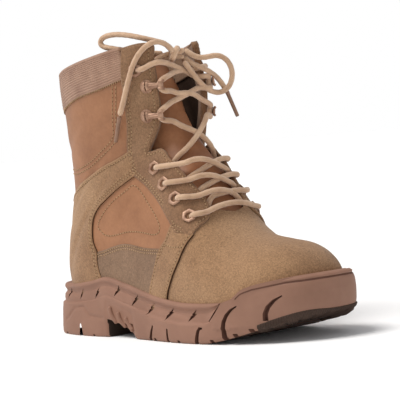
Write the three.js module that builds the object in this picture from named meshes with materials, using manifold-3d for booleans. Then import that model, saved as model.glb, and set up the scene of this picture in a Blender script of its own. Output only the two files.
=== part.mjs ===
// Laced combat boot for the right foot, standing empty on its sole.
// Millimetres. +X points to the toe, +Y to the inner (medial) side, +Z up, and the
// sole's flat treads stand on z = 0. Every piece is a closed solid of its own.
import * as THREE from 'three';
import { mergeVertices } from 'three/addons/utils/BufferGeometryUtils.js';
import Module from 'manifold-3d';

const wasm = await Module();
wasm.setup();

// ---- Driving dimensions ----
const WALL = 2.6;              // suede, padding and lining of the upper together
const GAP = 0.3;               // clearance between two pieces that meet
const RAND_THICKNESS = 2.4;    // rubber cup wall that climbs the upper
const INSOLE_THICKNESS = 5;
const TONGUE_THICKNESS = 3.2;
const LACE_RADIUS = 2.3;
const LATERAL = -1;
const MEDIAL = 1;
const SIDES = { lateral: LATERAL, medial: MEDIAL };

// ---- Small helpers ----

// A table is a list of rows under named columns.
const table = (columns, rows) => rows.map((row) => Object.fromEntries(
  columns.map((name, index) => [name, row[index]])));

// Smooth value of one column at a fractional row number.
function smoothAt(rows, column, position) {
  const last = rows.length - 1;
  const clamped = Math.min(Math.max(position, 0), last);
  const i = Math.min(Math.floor(clamped), last - 1);
  const t = clamped - i;
  const b = rows[i][column];
  const c = rows[i + 1][column];
  const a = i > 0 ? rows[i - 1][column] : 2 * b - c;
  const d = i + 2 <= last ? rows[i + 2][column] : 2 * c - b;
  return 0.5 * (2 * b + (c - a) * t + (2 * a - 5 * b + 4 * c - d) * t * t
    + (3 * b - a - 3 * c + d) * t * t * t);
}

// Value of a height line, given as rows of x and z, at one x.
function lineAt(rows, x) {
  let i = 0;
  while (i < rows.length - 2 && rows[i + 1].x < x) i += 1;
  const t = THREE.MathUtils.clamp((x - rows[i].x) / (rows[i + 1].x - rows[i].x), 0, 1);
  return Math.max(smoothAt(rows, 'z', i + t), 0);
}

const steps = (from, to, count) => Array.from({ length: count + 1 },
  (_, i) => from + (to - from) * i / count);

const blend = (from, to, x) => THREE.MathUtils.smoothstep(x, from, to);

// Positions and triangles as an indexed geometry with its faces pointing out.
function solidGeometry(points, triangles) {
  const volume = triangles.reduce((sum, [a, b, c]) => sum
    + points[a].dot(points[b].clone().cross(points[c])), 0);
  const outward = volume < 0 ? triangles.map(([a, b, c]) => [a, c, b]) : triangles;
  const geometry = new THREE.BufferGeometry().setFromPoints(points);
  geometry.setIndex(outward.flat());
  return geometry;
}

// Closed solid through a stack of rings that all have the same number of points.
function loft(rings) {
  const count = rings[0].length;
  const points = rings.flat();
  const triangles = [];
  for (let r = 0; r + 1 < rings.length; r += 1) {
    for (let k = 0; k < count; k += 1) {
      const a = r * count + k;
      const b = r * count + (k + 1) % count;
      triangles.push([a, b, b + count], [a, b + count, a + count]);
    }
  }
  [0, rings.length - 1].forEach((r) => {
    const centre = rings[r].reduce((sum, p) => sum.add(p), new THREE.Vector3());
    points.push(centre.divideScalar(count));
    const hub = points.length - 1;
    for (let k = 0; k < count; k += 1) {
      const a = r * count + k;
      const b = r * count + (k + 1) % count;
      triangles.push(r === 0 ? [hub, b, a] : [hub, a, b]);
    }
  });
  return solidGeometry(points, triangles);
}

function toManifold(geometry) {
  const bare = geometry.clone();
  bare.deleteAttribute('normal');
  bare.deleteAttribute('uv');
  const merged = mergeVertices(bare, 1e-4);
  return new wasm.Manifold(new wasm.Mesh({
    numProp: 3,
    vertProperties: Float32Array.from(merged.attributes.position.array),
    triVerts: Uint32Array.from(merged.index.array),
  }));
}

function toGeometry(manifold) {
  const mesh = manifold.getMesh();
  const geometry = new THREE.BufferGeometry();
  geometry.setAttribute('position', new THREE.BufferAttribute(mesh.vertProperties, 3));
  geometry.setIndex(new THREE.BufferAttribute(mesh.triVerts, 1));
  return geometry;
}

const union = (geometries) => geometries.map(toManifold).reduce((a, b) => a.add(b));

// A flat outline pushed straight along one axis, between two places on it.
// The outline's pairs are (y, z) along X and (x, z) along Y.
function prism(axis, outline, from, to) {
  const shape = new THREE.Shape(outline.map(([a, b]) => new THREE.Vector2(a, b)));
  const geometry = new THREE.ExtrudeGeometry(shape, { depth: to - from, bevelEnabled: false });
  geometry.translate(0, 0, from);
  const turn = {
    X: new THREE.Matrix4().makeBasis(
      new THREE.Vector3(0, 1, 0), new THREE.Vector3(0, 0, 1), new THREE.Vector3(1, 0, 0)),
    Y: new THREE.Matrix4().makeBasis(
      new THREE.Vector3(1, 0, 0), new THREE.Vector3(0, 0, 1), new THREE.Vector3(0, -1, 0)),
  };
  if (axis === 'Y') geometry.translate(0, 0, -from - to);
  return geometry.applyMatrix4(turn[axis]);
}

// A round lace of one radius along a smooth route.
function tube(route, radius, sides, count) {
  const curve = new THREE.CatmullRomCurve3(route.map((p) => new THREE.Vector3(...p)));
  const section = new THREE.Shape(steps(0, 2 * Math.PI, sides).slice(0, sides)
    .map((t) => new THREE.Vector2(radius * Math.cos(t), radius * Math.sin(t))));
  return new THREE.ExtrudeGeometry(section, { steps: count, extrudePath: curve });
}

// ---- The last: the outer form of the upper ----
// Each row is one section, a plane parallel to Y that fans round the ankle. It runs from
// its low or back point (backX, backZ) to its top or front point (frontX, frontZ).
// lateral and medial are its half widths, centre shifts it towards the inner side,
// widest is where it is widest, from back to front, and the two powers say how square
// the back and the front halves are.
const LAST = table(
  ['backX', 'backZ', 'frontX', 'frontZ', 'lateral', 'medial', 'centre', 'widest',
    'backPower', 'frontPower'], [
    [142, 30, 142.5, 42, 4, 4, 8, 0.50, 2.0, 2.0],             // toe tip
    [141, 22, 141.5, 50, 16, 16, 8, 0.45, 2.2, 2.2],
    [137, 14, 137.5, 58, 27, 26, 7, 0.40, 2.4, 2.3],
    [130, 9, 130.5, 65, 36, 34, 6, 0.38, 2.5, 2.4],
    [119, 6, 118, 71, 43.5, 40, 5, 0.36, 2.6, 2.4],
    [106, 4, 102, 74, 49, 43.5, 3.5, 0.34, 2.7, 2.3],
    [86, 3, 80, 79, 51.5, 44.5, 2, 0.32, 2.8, 2.2],            // ball
    [62, 3, 61, 90.5, 51.5, 44, 1, 0.28, 2.8, 2.4],            // throat
    [36, 4, 43, 112.5, 49.5, 42.5, 0.5, 0.23, 2.8, 2.5],
    [4, 6, 31, 135.5, 46, 41, 0, 0.21, 2.8, 2.45],             // instep
    [-34, 10, 25.5, 153, 42.5, 40, 0, 0.23, 3.0, 2.3],
    [-76, 12, 24, 165, 40, 39, 0, 0.27, 3.2, 2.15],
    [-120, 16, 23, 175, 39, 39, 0, 0.34, 3.4, 2.0],            // heel
    [-142, 42, 22, 182, 38, 39, 0, 0.43, 2.4, 2.0],
    [-142.5, 68, 21.5, 189, 37, 40, 0, 0.46, 2.2, 2.0],
    [-133, 98, 20.5, 196, 38, 41, 0, 0.48, 2.1, 2.0],
    [-129, 124, 18.5, 203, 40, 41, 0, 0.49, 2.1, 2.1],         // waist
    [-129.5, 150, 16, 211, 41.5, 41, 0, 0.50, 2.1, 2.1],
    [-130.5, 178, 13.5, 219, 43, 41.5, 0, 0.50, 2.1, 2.1],
    [-131.5, 200, 11, 227, 44, 42, 0, 0.50, 2.1, 2.2],
    [-131.5, 216, 9, 235, 44, 42.5, 0, 0.50, 2.1, 2.2],        // collar
  ]);
const COLLAR = LAST.length - 1;

// Point of the last's surface. station is a fractional row of LAST. around is 0 on the
// front or top ridge, -1 and 1 on the back or bottom seam, and negative on the outer side.
function surfacePoint(station, around) {
  const at = (column) => smoothAt(LAST, column, station);
  const angle = Math.abs(around) * Math.PI;
  const front = Math.abs(around) <= 0.5;
  const power = 2 / at(front ? 'frontPower' : 'backPower');
  const reach = Math.abs(Math.cos(angle)) ** power;
  const widest = at('widest');
  const height = front ? widest + (1 - widest) * reach : widest * (1 - reach);
  const side = at(around < 0 ? 'lateral' : 'medial') * Math.sin(angle) ** power;
  return new THREE.Vector3(
    at('backX') + (at('frontX') - at('backX')) * height,
    at('centre') + Math.sign(around) * Math.max(side, 0),
    at('backZ') + (at('frontZ') - at('backZ')) * height);
}

// Outward direction of the surface at the same place.
function surfaceNormal(station, around) {
  const eps = 0.004;
  const low = Math.max(station - 0.05, 0);
  const high = Math.min(station + 0.05, COLLAR);
  const along = surfacePoint(high, around).sub(surfacePoint(low, around));
  const wrap = (a) => (a > 1 ? a - 2 : a < -1 ? a + 2 : a);
  const across = surfacePoint(station, wrap(around + eps))
    .sub(surfacePoint(station, wrap(around - eps)));
  return across.cross(along).normalize();
}

// The surface moved inwards by a distance, or outwards when it is negative.
function insetPoint(station, around, inset) {
  return surfacePoint(station, around).addScaledVector(surfaceNormal(station, around), -inset);
}

// Closed form of the whole last, from toe tip to collar, moved in by a distance.
// past lengthens it beyond the collar, for a form that has to cut through there.
const STATIONS = [0, 0.5, 1, 1.5, 2, 3, 4, 5, 6, 7, 8, 9, 10, 11, 12, 12.5, 13, 13.5, 14, 15, 16,
  17, 18, 19, 20];
const AROUND = 26;
function lastForm(inset, past = 0) {
  const rings = STATIONS.map((station) => steps(-1, 1, AROUND).slice(0, AROUND)
    .map((around) => insetPoint(station, around, inset)));
  if (past > 0) {
    const up = new THREE.Vector3(0, 0, past);
    rings.push(rings[rings.length - 1].map((p) => p.clone().add(up)));
  }
  return toManifold(loft(rings));
}

// ---- Height lines, seen from the side ----
const FLOOR = table(['x', 'z'], [
  [-165, 31], [-120, 30], [-80, 29], [-40, 25], [0, 19.5], [30, 17], [60, 17], [95, 19],
  [125, 23], [165, 29]]);
const RAND = table(['x', 'z'], [
  [-165, 43], [-110, 43], [-82, 46], [-62, 49], [-40, 45], [0, 36.5], [35, 31.5], [60, 30.5],
  [90, 31.5], [100, 35], [107, 41], [115, 44], [135, 47.5], [165, 50]]);
const LEDGE = table(['x', 'z'], [
  [-165, 28], [-110, 28], [-82, 31], [-62, 35], [-40, 30], [0, 21], [35, 16.5], [60, 16],
  [80, 17.5], [92, 21], [100, 32], [107, 40], [115, 43], [135, 46.5], [165, 49]]);
const GROUND = table(['x', 'z'], [
  [-165, 0], [-40, 0], [20, 0], [64, 0], [84, 2.6], [104, 7], [124, 12.5], [142, 18], [165, 25]]);

const LINES = { ground: GROUND, ledge: LEDGE, rand: RAND };

// Everything above or below a height line, moved up by lift, as a block.
function slab(rows, lift, upTo, halfWidth = 90) {
  const edge = steps(-165, 165, 22).map((x) => [x, lineAt(rows, x) + lift]);
  return toManifold(prism('Y', [...edge, [165, upTo], [-165, upTo]], -halfWidth, halfWidth));
}

// ---- Sole: outsole, heel and cup moulded as one piece ----
// Widest outline of the sole, from heel tip to toe tip, as distances from the centre line.
const OUTLINE = table(['x', 'lateral', 'medial'], [
  [-156, 0, 0], [-152, 20, 19.5], [-141, 32.5, 32.5], [-122, 39.5, 40], [-96, 43, 43],
  [-66, 44, 43], [-34, 46, 43.5], [0, 50.5, 45.5], [32, 54.6, 49.5], [62, 55.4, 51.7],
  [90, 52.8, 51.5], [114, 45.5, 47.5], [134, 33, 42], [147, 19.5, 34], [154, 5, 24], [156, -8, 8]]);

// Levels of the side wall. inset draws the outline in, separately at heel, waist and toe,
// and rake moves the back of the heel forward.
const WALL_LEVELS = table(['from', 'to', 'share', 'lift', 'heel', 'fore', 'toe', 'rake'], [
  ['ground', 'ledge', 0, 0, 0.8, 2.6, 3.0, 0],
  ['ground', 'ledge', 0, 2.2, 0, 0.8, 1.0, 0],
  ['ground', 'ledge', 0.55, 0, 0.4, 0.2, 0, 1.2],
  ['ground', 'ledge', 1, -1.6, 1.2, 0, 2.0, 2.4],
  ['ground', 'ledge', 1, 0, 2.4, 1.6, 4.0, 2.6],
  ['ledge', 'rand', 0, 0.5, 3.6, 4.6, 4.6, 3.0],
  ['ledge', 'rand', 0.8, 0.5, 3.8, 5.2, 5.2, 3.0],
  ['ledge', 'rand', 1, 0, 4.8, 6.2, 7.4, 3.2],
]);

function outlinePoint(position, side) {
  const x = smoothAt(OUTLINE, 'x', position);
  const y = side * smoothAt(OUTLINE, side < 0 ? 'lateral' : 'medial', position);
  return new THREE.Vector2(x, y);
}

// One ring of the sole's wall: the outline drawn in, at the level's height.
function wallRing(level) {
  const last = OUTLINE.length - 1;
  const places = steps(0, last, 2 * last);
  const loop = [
    ...places.map((p) => [p, LATERAL]),
    ...places.slice(1, -1).reverse().map((p) => [p, MEDIAL]),
  ];
  const flat = loop.map(([p, side]) => outlinePoint(p, side));
  return flat.map((point, i) => {
    const before = flat[(i + flat.length - 1) % flat.length];
    const after = flat[(i + 1) % flat.length];
    const along = after.clone().sub(before).normalize();
    const inward = new THREE.Vector2(-along.y, along.x);
    const toe = blend(92, 112, point.x);
    const heel = 1 - blend(-80, -60, point.x);
    const inset = level.heel * heel + level.toe * toe + level.fore * (1 - heel - toe);
    const placed = point.clone().addScaledVector(inward, inset);
    placed.x += level.rake * (1 - blend(-156, -110, point.x));
    const from = lineAt(LINES[level.from], placed.x);
    const to = lineAt(LINES[level.to], placed.x);
    return new THREE.Vector3(placed.x, placed.y, from + (to - from) * level.share + level.lift);
  });
}

// Side by side strips join the two halves of a ring, so a cap follows its height line.
function soleBlock() {
  const rings = WALL_LEVELS.map(wallRing);
  const count = rings[0].length;
  const points = rings.flat();
  const triangles = [];
  for (let r = 0; r + 1 < rings.length; r += 1) {
    for (let k = 0; k < count; k += 1) {
      const a = r * count + k;
      const b = r * count + (k + 1) % count;
      triangles.push([a, b, b + count], [a, b + count, a + count]);
    }
  }
  [[0, 1], [rings.length - 1, -1]].forEach(([r, facing]) => {
    for (let k = 0; k < count / 2; k += 1) {
      const left = [k, k + 1].map((i) => r * count + i);
      const right = [count - k, count - k - 1].map((i) => r * count + i % count);
      const quad = [[left[0], right[0], right[1]], [left[0], right[1], left[1]]]
        .filter(([a, b, c]) => a !== b && b !== c && a !== c);
      triangles.push(...quad.map(([a, b, c]) => (facing > 0 ? [a, b, c] : [a, c, b])));
    }
  });
  return toManifold(solidGeometry(points, triangles));
}

// Open space under the arch, between the heel's breast and the forefoot's first lug.
const ARCH = [[-68.5, -5], [-67, 15], [-61, 19], [-42, 16], [-25, 9.5], [-17, 4], [-12, -5]];

// Grooves between the main lugs, across the sole: place, width and depth.
const GROOVES = table(['x', 'width', 'depth'], [
  [-104, 5, 8], [-86, 4, 3], [10, 4.5, 6], [26, 4.5, 6], [44, 5, 5], [64, 5, 6],
  [84, 5, 4.5], [103, 5, 4.5], [121, 5, 4.5]]);

function sole() {
  let body = soleBlock();
  const cup = lastForm(-RAND_THICKNESS - GAP);
  const belowRand = slab(RAND, 0, -40);
  const aboveGround = slab(LEDGE, -4, 80);
  body = body.add(cup.intersect(belowRand).intersect(aboveGround));
  body = body.subtract(toManifold(prism('Y', ARCH, -90, 90)));
  GROOVES.forEach(({ x, width, depth }) => {
    const low = lineAt(GROUND, x);
    const half = width / 2;
    const outline = [[x - half, -5], [x - half, low + depth - 1], [x - half + 1, low + depth],
      [x + half - 1, low + depth], [x + half, low + depth - 1], [x + half, -5]];
    body = body.subtract(toManifold(prism('Y', outline, -90, 90)));
  });
  const foot = lastForm(-GAP).intersect(slab(FLOOR, 0, 300));
  return body.subtract(foot);
}

// ---- Throat: the opening between the facings, seen from the front ----
// halfWidth is the distance from the centre line to each facing's front edge.
const THROAT = table(['z', 'halfWidth'], [
  [102.5, 8], [105, 14], [109, 18], [114, 20.5], [126, 23], [140, 24.3], [148.5, 24.2],
  [151, 28], [154, 27.5], [162, 25], [172, 23.6], [192, 24.5], [214, 24.2], [245, 22]]);
const THROAT_BACK = -45;

function throatBlock() {
  const right = THROAT.map(({ z, halfWidth }) => [halfWidth, z]);
  const left = THROAT.map(({ z, halfWidth }) => [-halfWidth, z]).reverse();
  return toManifold(prism('X', [...right, ...left], THROAT_BACK, 120));
}

// ---- Places of the lacing, on both facings ----
const EYELETS = table(['row', 'station', 'around'], [
  [1, 7.95, 0.225], [2, 8.85, 0.242], [3, 9.9, 0.258], [4, 11.2, 0.258], [5, 18.05, 0.267]]);
const HOOKS = table(['row', 'station', 'around'], [[1, 14.85, 0.275], [2, 16.7, 0.25]]);
const EYELET_BORE = 2.6;
const EYELET_BARREL = 3.3;
const EYELET_HOLE = EYELET_BARREL + GAP;
const EYELET_ACROSS_CORNERS = 11;
const EYELET_FLANGE = 1.0;
const SEAT_CLEARANCE = 0.5;    // a flat flange on the curved facing

// Frame of a fitting on the facing: +Z stands off the leather and +X points to the throat.
function facingFrame(station, around, lift) {
  const out = surfaceNormal(station, around);
  const inwards = new THREE.Vector3(0, 0, Math.sign(around)).cross(out).negate().normalize();
  const across = out.clone().cross(inwards);
  const place = insetPoint(station, around, -lift);
  return new THREE.Matrix4().makeBasis(inwards, across, out).setPosition(place);
}

const zCylinder = (radius, from, to, sides) => new THREE.CylinderGeometry(
  radius, radius, to - from, sides).rotateX(Math.PI / 2).translate(0, 0, (from + to) / 2);

function eyeletHole({ station, around }, side) {
  return toManifold(zCylinder(EYELET_HOLE, -8, 6, 10)
    .applyMatrix4(facingFrame(station, side * around, 0)));
}

// Hexagonal flange and a round barrel through the facing, with the bore for the lace.
function eyelet({ station, around }, side) {
  const flange = zCylinder(EYELET_ACROSS_CORNERS / 2, 0, EYELET_FLANGE, 6);
  const barrel = zCylinder(EYELET_BARREL, -WALL - SEAT_CLEARANCE, EYELET_FLANGE / 2, 8);
  const bore = zCylinder(EYELET_BORE, -8, 6, 8);
  const shape = union([flange, barrel]).subtract(toManifold(bore));
  return toGeometry(shape).applyMatrix4(facingFrame(station, side * around, SEAT_CLEARANCE));
}

// Speed hook: a domed rivet on a base plate, whose neck reaches over the facing's edge
// and ends in an upright bar with a lip that keeps the lace.
function hook({ station, around }, side) {
  const box = (x0, x1, halfY, z0, z1) => new THREE.BoxGeometry(x1 - x0, 2 * halfY, z1 - z0)
    .translate((x0 + x1) / 2, 0, (z0 + z1) / 2);
  const dome = new THREE.SphereGeometry(4.2, 8, 4).rotateX(Math.PI / 2).scale(1, 1, 0.7);
  const cap = toManifold(dome).intersect(toManifold(box(-9, 9, 9, 0.2, 9)));
  const shape = union([
    zCylinder(5.2, 0, 1.2, 10), box(3, 13, 2.3, 0.1, 1.3), box(12, 13.5, 4.2, 0.1, 3.4),
    box(10.5, 13.5, 4.2, 2.4, 3.8),
  ]).add(cap);
  return toGeometry(shape).applyMatrix4(facingFrame(station, side * around, SEAT_CLEARANCE));
}

// ---- Upper: one hollow wall, open at the collar, down the throat and underneath ----
function upper() {
  let shell = lastForm(0).subtract(lastForm(WALL, 6));
  shell = shell.intersect(slab(FLOOR, GAP, 300)).subtract(throatBlock());
  Object.values(SIDES).forEach((side) => {
    EYELETS.forEach((place) => {
      shell = shell.subtract(eyeletHole(place, side));
    });
  });
  return shell;
}

// ---- Insole: lies on the sole's floor, inside the wall ----
function insole() {
  const inside = lastForm(WALL + GAP);
  const above = slab(FLOOR, GAP, 300);
  const below = slab(FLOOR, GAP + INSOLE_THICKNESS, -40);
  return inside.intersect(above).intersect(below);
}

// ---- Tongue: crowned strip under the facings that leans back above the ankle ----
// halfAngle is how far it reaches to each side, in the surface's own measure.
const TONGUE = table(['station', 'halfAngle'], [
  [6.4, 0.10], [7, 0.13], [7.7, 0.17], [8.4, 0.19], [9.2, 0.20], [10, 0.205], [11, 0.21],
  [12.5, 0.22], [14, 0.225], [15.5, 0.225], [17, 0.225], [18.4, 0.215], [19, 0.19]]);
const TONGUE_INSET = WALL + 0.7;
const TONGUE_LEAN = { from: 136, slope: 0.42 };

function tonguePoint(station, around, depth) {
  const point = insetPoint(station, around, TONGUE_INSET + depth);
  const ridge = surfacePoint(station, 0);
  point.x -= TONGUE_LEAN.slope * Math.max(ridge.z - TONGUE_LEAN.from, 0);
  return point;
}

function tongue() {
  const rings = TONGUE.map(({ station, halfAngle }) => {
    const width = steps(-halfAngle, halfAngle, 8);
    return [
      ...width.map((around) => tonguePoint(station, around, 0)),
      ...width.reverse().map((around) => tonguePoint(station, around, TONGUE_THICKNESS)),
    ];
  });
  return loft(rings);
}

// ---- Lace ----
// Over the instep each strand comes from under a facing in one row and ends on top of the
// other facing, just short of the eyelet of the next row.
const LACE_SIDES = 6;
const OVER = 1.5;              // one strand of a crossing rides over the other
// Routes of the strands from the outer to the inner side, as x, y, z. Over the instep
// both strands of a crossing are mirror images of each other.
const INSTEP_CROSSINGS = {
  lace_cross_1: [
    [42.5, -13, 111], [43.7, -7, 112], [45.2, 0, 112], [46.9, 10, 111.5], [45.9, 20, 110.5],
    [44, 25, 110]],
  lace_cross_2: [
    [36.7, -17, 119], [38.2, -9, 121], [39.2, 0, 122.5], [39.8, 10, 123.5], [37.8, 20, 123.5],
    [35.8, 24.5, 123]],
  lace_cross_3: [
    [30.2, -18.5, 130], [32.2, -10, 132.5], [33.2, 0, 135], [33.3, 10, 136.5], [31, 19, 136.5],
    [29.2, 22.5, 136]],
};
const FIRST_BAR = [
  [52.9, -26, 98], [53.8, -17, 101], [54.1, -8, 102.5], [54.1, 0, 103], [54.1, 8, 102.5],
  [53.6, 17, 101], [51.4, 26, 98]];

// Both strands of a crossing bulge apart in its middle, but stay one solid.
function instepCrossing(route) {
  const middle = (route.length - 1) / 2;
  const strand = (side, lift) => tube(route.map(([x, y, z], i) => {
    const hump = lift * Math.max(1 - Math.abs(i - middle) / middle, 0);
    return [x + 0.8 * hump, side * y, z + 0.6 * hump];
  }), LACE_RADIUS, LACE_SIDES, 7);
  return union([strand(LATERAL, OVER), strand(MEDIAL, -OVER)]);
}

// Above the ankle the strands run free between the facings, from hook to hook.
const FREE_CROSSINGS = {
  lace_cross_4: [
    [[17, -20, 142.5], [19, -14, 146.5], [20.5, -7, 152.5], [20, 0, 158], [17.5, 12, 169.5],
      [15, 15.5, 174]],
    [[14.5, 20, 142.5], [17, 13, 151.5], [17.5, 4, 158.5], [15.5, -4, 163], [11.5, -11, 167],
      [9, -15, 171]]],
  lace_cross_5: [
    [[9, -14, 186], [9, -8, 187.5], [10, 0, 190.5], [11, 8, 193.5], [10.5, 13, 195.5]],
    [[11, 14.5, 186], [12, 8, 190], [11.5, 0, 192], [9.5, -8, 191.5], [8.5, -13.5, 194.5]]],
  lace_cross_6: [
    [[9, -15, 206.5], [7, -8, 209], [6, 0, 210], [5, 11, 210.5], [7.4, 20, 211.5],
      [5.6, 25.5, 212.5]],
    [[7.5, 14, 204], [6.2, 7, 208.5], [6.4, -3, 212.5], [6.5, -14, 216.5], [8, -23, 217.5],
      [4.6, -27, 217]]],
};

const freeCrossing = (strands) => union(strands.map((route) => (
  tube(route, LACE_RADIUS, LACE_SIDES, 7))));

// The bow: its knot stands between the tops of the facings. The two loops and the two
// ends start at the knot, and each end has a stiff tip.
const KNOT = { x: 1, y: -0.5, z: 225.5, radii: [4.5, 5.5, 6.5] };
const TIP_RADIUS = 1.7;
const BOW = {
  lace_loop_lateral: [
    [1, -8, 232], [-4.5, -14, 235], [-14.5, -24, 239.5], [-25.5, -28, 242.5],
    [-37, -31, 244], [-48, -33, 243], [-52.5, -34, 239], [-49.5, -33, 235.5],
    [-41.5, -31, 233.5], [-34, -28, 231.5], [-25, -20, 229], [-13.5, -11, 226], [-7, -6, 225]],
  lace_loop_medial: [
    [6.5, 6, 226.5], [9.5, 9, 222.5], [13.5, 14, 219], [18.5, 19, 219], [23, 25, 220],
    [27, 31, 216], [28, 35, 208], [26, 36, 200], [20, 36, 193], [14, 32, 190], [12, 25, 192],
    [12, 18, 196], [12, 10.5, 203], [11.5, 5, 210.5], [9, 1.5, 217]],
  lace_end_lateral: [
    [7.5, -7, 225.5], [8, -14, 231], [6.4, -22, 234], [2.2, -29, 231.5], [-2.5, -34.5, 225],
    [-8, -37, 216.5], [-10.5, -39, 208.5], [-13.5, -40.5, 200.5], [-17, -41, 192.5],
    [-20.5, -41.5, 185], [-24, -42, 178.5]],
  lace_end_medial: [
    [4, 6.5, 220.5], [8.5, 11, 214.5], [12.6, 19, 210.4], [13, 26, 206.5], [11.2, 33, 203],
    [10, 39.5, 197], [9.5, 43.5, 191.8]],
};
const TIPS = {
  lace_tip_lateral: [[-24.3, -42, 177.6], [-34, -40.5, 158]],
  lace_tip_medial: [[9.7, 43.9, 190.9], [15.5, 48, 170]],
};

function knot() {
  const [x, y, z] = KNOT.radii;
  return new THREE.SphereGeometry(1, 10, 7).scale(x, y, z).translate(KNOT.x, KNOT.y, KNOT.z);
}

// ---- Heel loop: a short webbing pull on the back seam ----
const LOOP = { low: 108, high: 132, halfWidth: 9, thickness: 1.8, stand: 4 };

function heelLoop() {
  const places = steps(LOOP.low, LOOP.high, 10);
  const backX = (z) => insetPoint(15 + (z - 98) / 26, 1, -GAP - 0.4).x;
  const bulge = places.map((z) => {
    const share = (z - LOOP.low) / (LOOP.high - LOOP.low);
    return Math.min(LOOP.stand, LOOP.stand * Math.sin(Math.PI * share) * 2);
  });
  const outside = places.map((z, i) => [backX(z) - bulge[i] - LOOP.thickness, z]);
  const inside = places.map((z, i) => [backX(z) - bulge[i], z]);
  return prism('Y', [...outside, ...inside.reverse()], -LOOP.halfWidth, LOOP.halfWidth);
}

// ---- Colours ----
const material = (color, roughness, metalness = 0) => new THREE.MeshStandardMaterial(
  { color, roughness, metalness });
const suede = material(0x96805c, 0.95);
const rubber = material(0x96705f, 0.7);
const leather = material(0x96694f, 0.55);
const felt = material(0x2e2622, 0.95);
const bronze = material(0x6d4f3c, 0.4, 0.6);
const webbing = material(0x5a4438, 0.85);
const lace = material(0xc8aa87, 0.9);
const tip = material(0x8a6c58, 0.4);

const boot = new THREE.Group();
boot.name = 'combat_boot';

function place(name, shape, finish) {
  const geometry = shape instanceof THREE.BufferGeometry ? shape : toGeometry(shape);
  const mesh = new THREE.Mesh(geometry, finish);
  mesh.name = name;
  boot.add(mesh);
}

place('sole', sole(), rubber);
place('upper', upper(), suede);
place('insole', insole(), felt);
place('tongue', tongue(), leather);
place('heel_loop', heelLoop(), webbing);
Object.entries(SIDES).forEach(([sideName, side]) => {
  EYELETS.forEach((spot) => place(`eyelet_${sideName}_${spot.row}`, eyelet(spot, side), bronze));
  HOOKS.forEach((spot) => place(`hook_${sideName}_${spot.row}`, hook(spot, side), bronze));
});

place('lace_bar', tube(FIRST_BAR, LACE_RADIUS, LACE_SIDES, 8), lace);
Object.entries(INSTEP_CROSSINGS).forEach(([name, route]) => {
  place(name, instepCrossing(route), lace);
});
Object.entries(FREE_CROSSINGS).forEach(([name, pair]) => place(name, freeCrossing(pair), lace));
place('lace_knot', knot(), lace);
Object.entries(BOW).forEach(([name, route]) => {
  place(name, tube(route, LACE_RADIUS, LACE_SIDES, Math.round(1.6 * route.length)), lace);
});
Object.entries(TIPS).forEach(([name, route]) => place(name, tube(route, TIP_RADIUS, LACE_SIDES, 1), tip));

export default boot;
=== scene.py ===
# Looks of a laced combat boot for the right foot. Shapes are worked out in millimetres in
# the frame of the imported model: +X to the toe, +Y to the inner side, +Z up, floor at z = 0.
import math
import bmesh
import bpy
import numpy as np
from mathutils import Matrix, Vector
from mathutils.geometry import delaunay_2d_cdt


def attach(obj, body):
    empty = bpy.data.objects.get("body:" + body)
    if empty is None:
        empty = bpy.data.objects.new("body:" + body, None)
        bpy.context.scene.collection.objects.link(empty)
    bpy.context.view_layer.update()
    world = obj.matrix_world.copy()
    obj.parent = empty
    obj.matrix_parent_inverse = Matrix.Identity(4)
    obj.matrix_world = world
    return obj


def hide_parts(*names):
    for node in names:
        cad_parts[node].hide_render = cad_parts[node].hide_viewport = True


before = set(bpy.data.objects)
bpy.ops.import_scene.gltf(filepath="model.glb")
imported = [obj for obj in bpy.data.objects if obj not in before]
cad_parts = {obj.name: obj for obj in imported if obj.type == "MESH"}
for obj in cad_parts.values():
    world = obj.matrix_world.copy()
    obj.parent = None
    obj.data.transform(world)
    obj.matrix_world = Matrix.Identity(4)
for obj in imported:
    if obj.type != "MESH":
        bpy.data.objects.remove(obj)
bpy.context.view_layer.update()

MM = 0.001
WALL = 2.6
LACE_RADIUS = 2.3
TIP_RADIUS = 1.7
LATERAL = -1
MEDIAL = 1
SIDES = {"lateral": LATERAL, "medial": MEDIAL}
RANDOM = np.random.default_rng(7)


# ---- Curves and surfaces ----

def smooth_at(values, position):
    """Catmull-Rom value of a list at fractional positions."""
    values = np.asarray(values, float)
    last = len(values) - 1
    p = np.clip(position, 0, last)
    i = np.minimum(np.floor(p).astype(int), last - 1)
    t = p - i
    b, c = values[i], values[i + 1]
    a = np.where(i > 0, values[np.maximum(i - 1, 0)], 2 * b - c)
    d = np.where(i + 2 <= last, values[np.minimum(i + 2, last)], 2 * c - b)
    return 0.5 * (2 * b + (c - a) * t + (2 * a - 5 * b + 4 * c - d) * t ** 2
                  + (3 * b - a - 3 * c + d) * t ** 3)


def line_at(rows, x):
    """Height of a line, given as rows of (x, z), at any x."""
    xs = np.array([r[0] for r in rows], float)
    zs = np.array([r[1] for r in rows], float)
    i = np.clip(np.searchsorted(xs, x) - 1, 0, len(xs) - 2)
    t = np.clip((x - xs[i]) / (xs[i + 1] - xs[i]), 0, 1)
    return np.maximum(smooth_at(zs, i + t), 0)


def blend(low, high, x):
    t = np.clip((np.asarray(x, float) - low) / (high - low), 0, 1)
    return t * t * (3 - 2 * t)


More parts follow.
